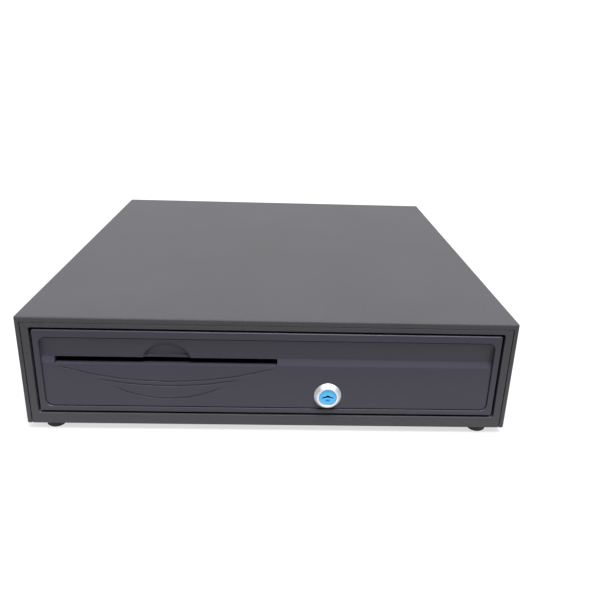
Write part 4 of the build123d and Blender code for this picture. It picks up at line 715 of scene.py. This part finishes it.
metal = add(tree, "ShaderNodeMath", {"operation": "SUBTRACT"}, {0: 1.0, 1: cap.outputs[0]})
shader = add(tree, "ShaderNodeBsdfPrincipled", {}, {"Base Color": tint.outputs["Result"],
                                                      "Metallic": metal.outputs[0], "Roughness": 0.28})
add(tree, "ShaderNodeOutputMaterial", {}, {"Surface": shader.outputs[0]})
refined("lock_rotor", plug_finish, bevel=0.08)
refined("lock_nut", metals["die_cast_zinc"], bevel=0.25)
for node in ("lock_cam", "tail_rod"):
    refined(node, zinc, bevel=0.15)

# %% [markdown]
# ## Feet, till and clips
# Moulded parts have no sharp edges at all: a mould cannot be that sharp and the part would not release. The
# till and its coin tray get a 0.35 mm rounding, the clips and the socket a smaller one.
# %% Dress the mouldings
for node in sorted(NODES):
    if node.startswith("foot_") and node != "foot_screws":
        refined(node, dull["moulded_rubber"], bevel=0.3)
    if node.startswith("bill_clip_"):
        refined(node, clip_acetal, bevel=0.25)
for node in ("till_tray", "coin_tray"):
    refined(node, till_abs, bevel=0.35)
for node in ("modular_socket", "lead_clip"):
    refined(node, dull["black_nylon"], bevel=0.15)
refined("signal_lead", dull["soft_pvc"])
refined("socket_contacts", metals["gold_flash"])

# %% [markdown]
# ## Slides and latch
# The rails are roll-formed strip and the brackets are pressed, so they get the plating and a trace of
# rounding. Each ball cage is a strip with its balls in it.
# %% Dress the metalwork
for side in ("left", "right"):
    for rail in ("slide_bracket", "housing_rail", "middle_rail", "drawer_rail"):
        refined(f"{rail}_{side}", zinc, bevel=0.12)
    for cage in ("outer_ball_cage", "inner_ball_cage"):
        refined(f"{cage}_{side}", metals["ball_bearing_steel"])
for node in ("latch_bracket", "latch_lever", "solenoid_frame", "striker_plate"):
    refined(node, zinc, bevel=0.15)
for node in ("latch_pivot_pin", "pivot_clip", "lever_pin", "striker_peg", "clip_rod", "solenoid_plunger"):
    refined(node, metals["drawn_spring_steel"], bevel=0.1)
refined("solenoid_coil", coil_tape, bevel=0.1)

# %% [markdown]
# ## Screws
# Forty-one pan-head screws in seven sizes hold it together. Modelling one and repeating it is what Geometry
# Nodes are for: a tree builds a screw from its four sizes, cuts the cross recess once, and sets a copy on
# every point, turned the way its head faces. Another size is the same tree with other numbers.
# %% Helpers that run a node tree and keep the plain mesh
def tree_with_inputs(name, inputs):
    """A Geometry Nodes tree with one geometry in and out, and named inputs: (name, socket type)."""
    tree = bpy.data.node_groups.new(name, "GeometryNodeTree")
    tree.interface.new_socket("Geometry", in_out="INPUT", socket_type="NodeSocketGeometry")
    for title, kind in inputs:
        tree.interface.new_socket(title, in_out="INPUT", socket_type=kind)
    tree.interface.new_socket("Geometry", in_out="OUTPUT", socket_type="NodeSocketGeometry")
    return tree, add(tree, "NodeGroupInput", {}, {}).outputs


def grown(name, tree, values, seats, material):
    """Runs a tree on points that face a way, and returns the result as an object with a plain mesh."""
    mesh = bpy.data.meshes.new(name)
    mesh.from_pydata([place for place, facing in seats], [], [])
    facings = mesh.attributes.new("facing", "FLOAT_VECTOR", "POINT")
    for i, (place, facing) in enumerate(seats):
        facings.data[i].vector = facing
    piece = bpy.data.objects.new(name, mesh)
    bpy.context.scene.collection.objects.link(piece)
    modifier = piece.modifiers.new(tree.name, "NODES")
    modifier.node_group = tree
    for item in tree.interface.items_tree:
        if item.in_out == "INPUT" and item.name in values:
            modifier[item.identifier] = values[item.name]
        if item.in_out == "INPUT" and item.name == "Material":
            modifier[item.identifier] = material
    evaluated = piece.evaluated_get(bpy.context.evaluated_depsgraph_get())
    plain = bpy.data.meshes.new_from_object(evaluated)
    piece.modifiers.clear()
    piece.data = plain
    plain.shade_smooth()
    plain.set_sharp_from_angle(angle=math.radians(35))
    print(name, "-", len(seats), "made,", len(plain.polygons), "faces")
    return piece


# %% The tree that makes pan-head screws
screw_tree, given = tree_with_inputs("pan_head_screws", [
    ("Head radius", "NodeSocketFloat"), ("Head height", "NodeSocketFloat"), ("Shank radius", "NodeSocketFloat"),
    ("Shank length", "NodeSocketFloat"), ("Material", "NodeSocketMaterial")])
scaled = {}
for title, source, share in (("rim", "Head height", 0.6), ("rim middle", "Head height", 0.3),
                             ("dome", "Head height", 0.45), ("dome seat", "Head height", 0.55),
                             ("dome base", "Head radius", 0.985), ("dome top", "Head radius", 0.7),
                             ("shank middle", "Shank length", -0.45), ("recess span", "Head radius", 1.15),
                             ("recess width", "Head radius", 0.26), ("recess depth", "Head height", 1.1)):
    scaled[title] = add(screw_tree, "ShaderNodeMath", {"operation": "MULTIPLY"},
                        {0: given[source], 1: share}).outputs[0]
rim = add(screw_tree, "GeometryNodeMeshCylinder", {}, {"Vertices": 24, "Radius": given["Head radius"],
                                                         "Depth": scaled["rim"]})
dome = add(screw_tree, "GeometryNodeMeshCone", {}, {"Vertices": 24, "Radius Bottom": scaled["dome base"],
                                                      "Radius Top": scaled["dome top"], "Depth": scaled["dome"]})
shank = add(screw_tree, "GeometryNodeMeshCylinder", {}, {"Vertices": 12, "Radius": given["Shank radius"],
                                                           "Depth": given["Shank length"]})
lifted = []
for part, height in ((rim, "rim middle"), (dome, "dome seat"), (shank, "shank middle")):
    lift = add(screw_tree, "ShaderNodeCombineXYZ", {}, {"Z": scaled[height]})
    lifted.append(add(screw_tree, "GeometryNodeTransform", {}, {"Geometry": part.outputs["Mesh"],
                                                                  "Translation": lift.outputs[0]}))
solid = add(screw_tree, "GeometryNodeMeshBoolean", {"operation": "UNION", "solver": "EXACT"}, {})
for part in lifted:
    screw_tree.links.new(part.outputs[0], solid.inputs["Mesh 2"])
arm_size = add(screw_tree, "ShaderNodeCombineXYZ", {}, {"X": scaled["recess span"], "Y": scaled["recess width"],
                                                          "Z": scaled["recess depth"]})
arm_lift = add(screw_tree, "ShaderNodeCombineXYZ", {}, {"Z": given["Head height"]})
recess = add(screw_tree, "GeometryNodeMeshBoolean", {"operation": "DIFFERENCE", "solver": "EXACT"},
             {"Mesh 1": solid.outputs["Mesh"]})
for quarter in (0.0, math.pi / 2):
    arm = add(screw_tree, "GeometryNodeMeshCube", {}, {"Size": arm_size.outputs[0]})
    set_arm = add(screw_tree, "GeometryNodeTransform", {}, {"Geometry": arm.outputs["Mesh"],
                                                              "Translation": arm_lift.outputs[0],
                                                              "Rotation": (0.0, 0.0, quarter)})
    screw_tree.links.new(set_arm.outputs[0], recess.inputs["Mesh 2"])


def set_on_points(tree, given, shape):
    """Ends a tree: a copy of the shape on every point, turned to face its way, realised and given its finish."""
    facing = add(tree, "GeometryNodeInputNamedAttribute", {"data_type": "FLOAT_VECTOR"}, {"Name": "facing"})
    turn = add(tree, "FunctionNodeAlignRotationToVector", {"axis": "Z"}, {"Vector": facing.outputs["Attribute"]})
    points = add(tree, "GeometryNodeMeshToPoints", {}, {"Mesh": given["Geometry"]})
    copies = add(tree, "GeometryNodeInstanceOnPoints", {}, {"Points": points.outputs[0], "Instance": shape,
                                                              "Rotation": turn.outputs[0]})
    real = add(tree, "GeometryNodeRealizeInstances", {}, {"Geometry": copies.outputs[0]})
    coat = add(tree, "GeometryNodeSetMaterial", {}, {"Geometry": real.outputs[0], "Material": given["Material"]})
    add(tree, "NodeGroupOutput", {}, {"Geometry": coat.outputs[0]})


set_on_points(screw_tree, given, recess.outputs["Mesh"])
print("screw tree:", len(screw_tree.nodes), "nodes")

# %% Where the screws sit: x, depth, height of each head's seat, and the way it faces
BACK, DOWN, UP, RIGHT, LEFT = (0, 1, 0), (0, 0, -1), (0, 0, 1), (1, 0, 0), (-1, 0, 0)
RAIL_FIXINGS = (44.0, 191.0, 338.0)
case_seats = [((s * 196.5, 420, h), BACK) for s in (-1, 1) for h in (24.25, 67.9)]
case_seats += [((s * 81.0, 420, 91.0), BACK) for s in (-1, 1)]
case_seats += [((s * 195.9, d, 0), DOWN) for s in (-1, 1) for d in (63, 210, 357)]
foot_seats = [((s * 181.3, d, -2.8), DOWN) for s in (-1, 1) for d in (10.2, 409.8)]
housing_seats = [((192.0, d, 40), RIGHT) for d in RAIL_FIXINGS]
housing_seats += [((-192.0, d, 40), LEFT) for d in RAIL_FIXINGS]
drawer_seats = [((178.0, d, 40), LEFT) for d in RAIL_FIXINGS]
drawer_seats += [((-178.0, d, 40), RIGHT) for d in RAIL_FIXINGS]
front_seats = [((x, 13, 23.7), BACK) for x in (-165.1, -60.0, 100.1, 165.1)]
front_seats += [((x, 13, 71.7), BACK) for x in (-150.1, 0.0, 150.1)]
latch_seats = [((x, d, 3.5), UP) for x in (-30.8, 35.2) for d in (394, 410)]
yoke_seats = [((x, 397.26, 24.25), DOWN) for x in (-15.8, -1.8)]
SCREWS = {
    # node: seats, head radius and height, shank radius and length
    "case_screws": (case_seats, 3.6, 2.2, 2.0, 6.0),
    "foot_screws": (foot_seats, 3.6, 2.2, 2.0, 7.0),
    "housing_rail_screws": (housing_seats, 3.6, 2.2, 2.0, 2.2),
    "drawer_rail_screws": (drawer_seats, 3.0, 1.4, 1.5, 2.2),
    "front_screws": (front_seats, 3.2, 2.0, 1.5, 5.5),
    "latch_screws": (latch_seats, 3.6, 2.2, 2.0, 2.5),
}


def screw_group(name, seats, head_radius, head_height, shank_radius, shank_length):
    """One crossed screw of these sizes, in millimetres, on every seat."""
    values = {"Head radius": head_radius * MM, "Head height": head_height * MM,
              "Shank radius": shank_radius * MM, "Shank length": shank_length * MM}
    places = [(at(*place), facing) for place, facing in seats]
    return grown(name, screw_tree, values, places, metals["black_oxide_steel"])


for node, (seats, *sizes) in SCREWS.items():
    finish(screw_group(f"{node}_crossed", seats, *sizes), node)
yoke_screws = screw_group("yoke_screws_crossed", yoke_seats, 2.4, 1.6, 1.2, 1.5)
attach(yoke_screws, BODY_OF["latch_screws"])

# %% [markdown]
# ## Springs
# A spring is a circle swept along a helix, again one rule with other numbers for each spring: the ejector
# that pushes the drawer out, the latch's return spring and a torsion spring at each note clip. The packed
# model only has the sleeves that they fill.
# %% The tree that winds springs
spring_tree, given = tree_with_inputs("wound_springs", [
    ("Turns", "NodeSocketFloat"), ("Coil radius", "NodeSocketFloat"), ("Wire radius", "NodeSocketFloat"),
    ("Length", "NodeSocketFloat"), ("Material", "NodeSocketMaterial")])
helix = add(spring_tree, "GeometryNodeCurveSpiral", {}, {"Resolution": 28, "Rotations": given["Turns"],
                                                           "Start Radius": given["Coil radius"],
                                                           "End Radius": given["Coil radius"],
                                                           "Height": given["Length"]})
wire = add(spring_tree, "GeometryNodeCurvePrimitiveCircle", {}, {"Resolution": 10,
                                                                   "Radius": given["Wire radius"]})
wound = add(spring_tree, "GeometryNodeCurveToMesh", {}, {"Curve": helix.outputs[0],
                                                           "Profile Curve": wire.outputs[0], "Fill Caps": True})
set_on_points(spring_tree, given, wound.outputs[0])
print("spring tree:", len(spring_tree.nodes), "nodes")

# %% Wind the springs
CLIP_MIDDLES = [69.6 * i for i in (-2, -1, 0, 1, 2)]
clip_seats = [((x + 9.05, 370, 70), RIGHT) for x in CLIP_MIDDLES]
SPRINGS = {
    # node: seats, turns, coil radius, wire radius, length
    "ejector_spring": ([((89.0, 383.0, 45.0), BACK)], 9.0, 4.8, 0.7, 34.3),
    "latch_spring": ([((26.1, 407.5, 39.7), RIGHT)], 17.0, 1.6, 0.4, 15.7),
    "clip_springs": (clip_seats, 4.0, 2.45, 0.55, 4.9),
}
for node, (seats, turns, coil, wire_radius, length) in SPRINGS.items():
    values = {"Turns": turns, "Coil radius": coil * MM, "Wire radius": wire_radius * MM, "Length": length * MM}
    places = [(at(*place), facing) for place, facing in seats]
    spring = grown(f"{node}_wound", spring_tree, values, places, metals["drawn_spring_steel"])
    finish(spring, node)
    if node == "latch_spring":
        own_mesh(spring)

# %% Check that nothing was missed, and print both sizes
covered = {name for o in bpy.context.scene.objects for name in o.get("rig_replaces", [])}
print("nodes left as they were:", sorted(set(NODES) - covered))
low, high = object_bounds()
sizes = {"cad": [list(cad_low), list(cad_high)], "visual": [list(low), list(high)]}
print("sizes in mm:", {k: [round((b - a) / MM, 2) for a, b in zip(*v)] for k, v in sizes.items()})
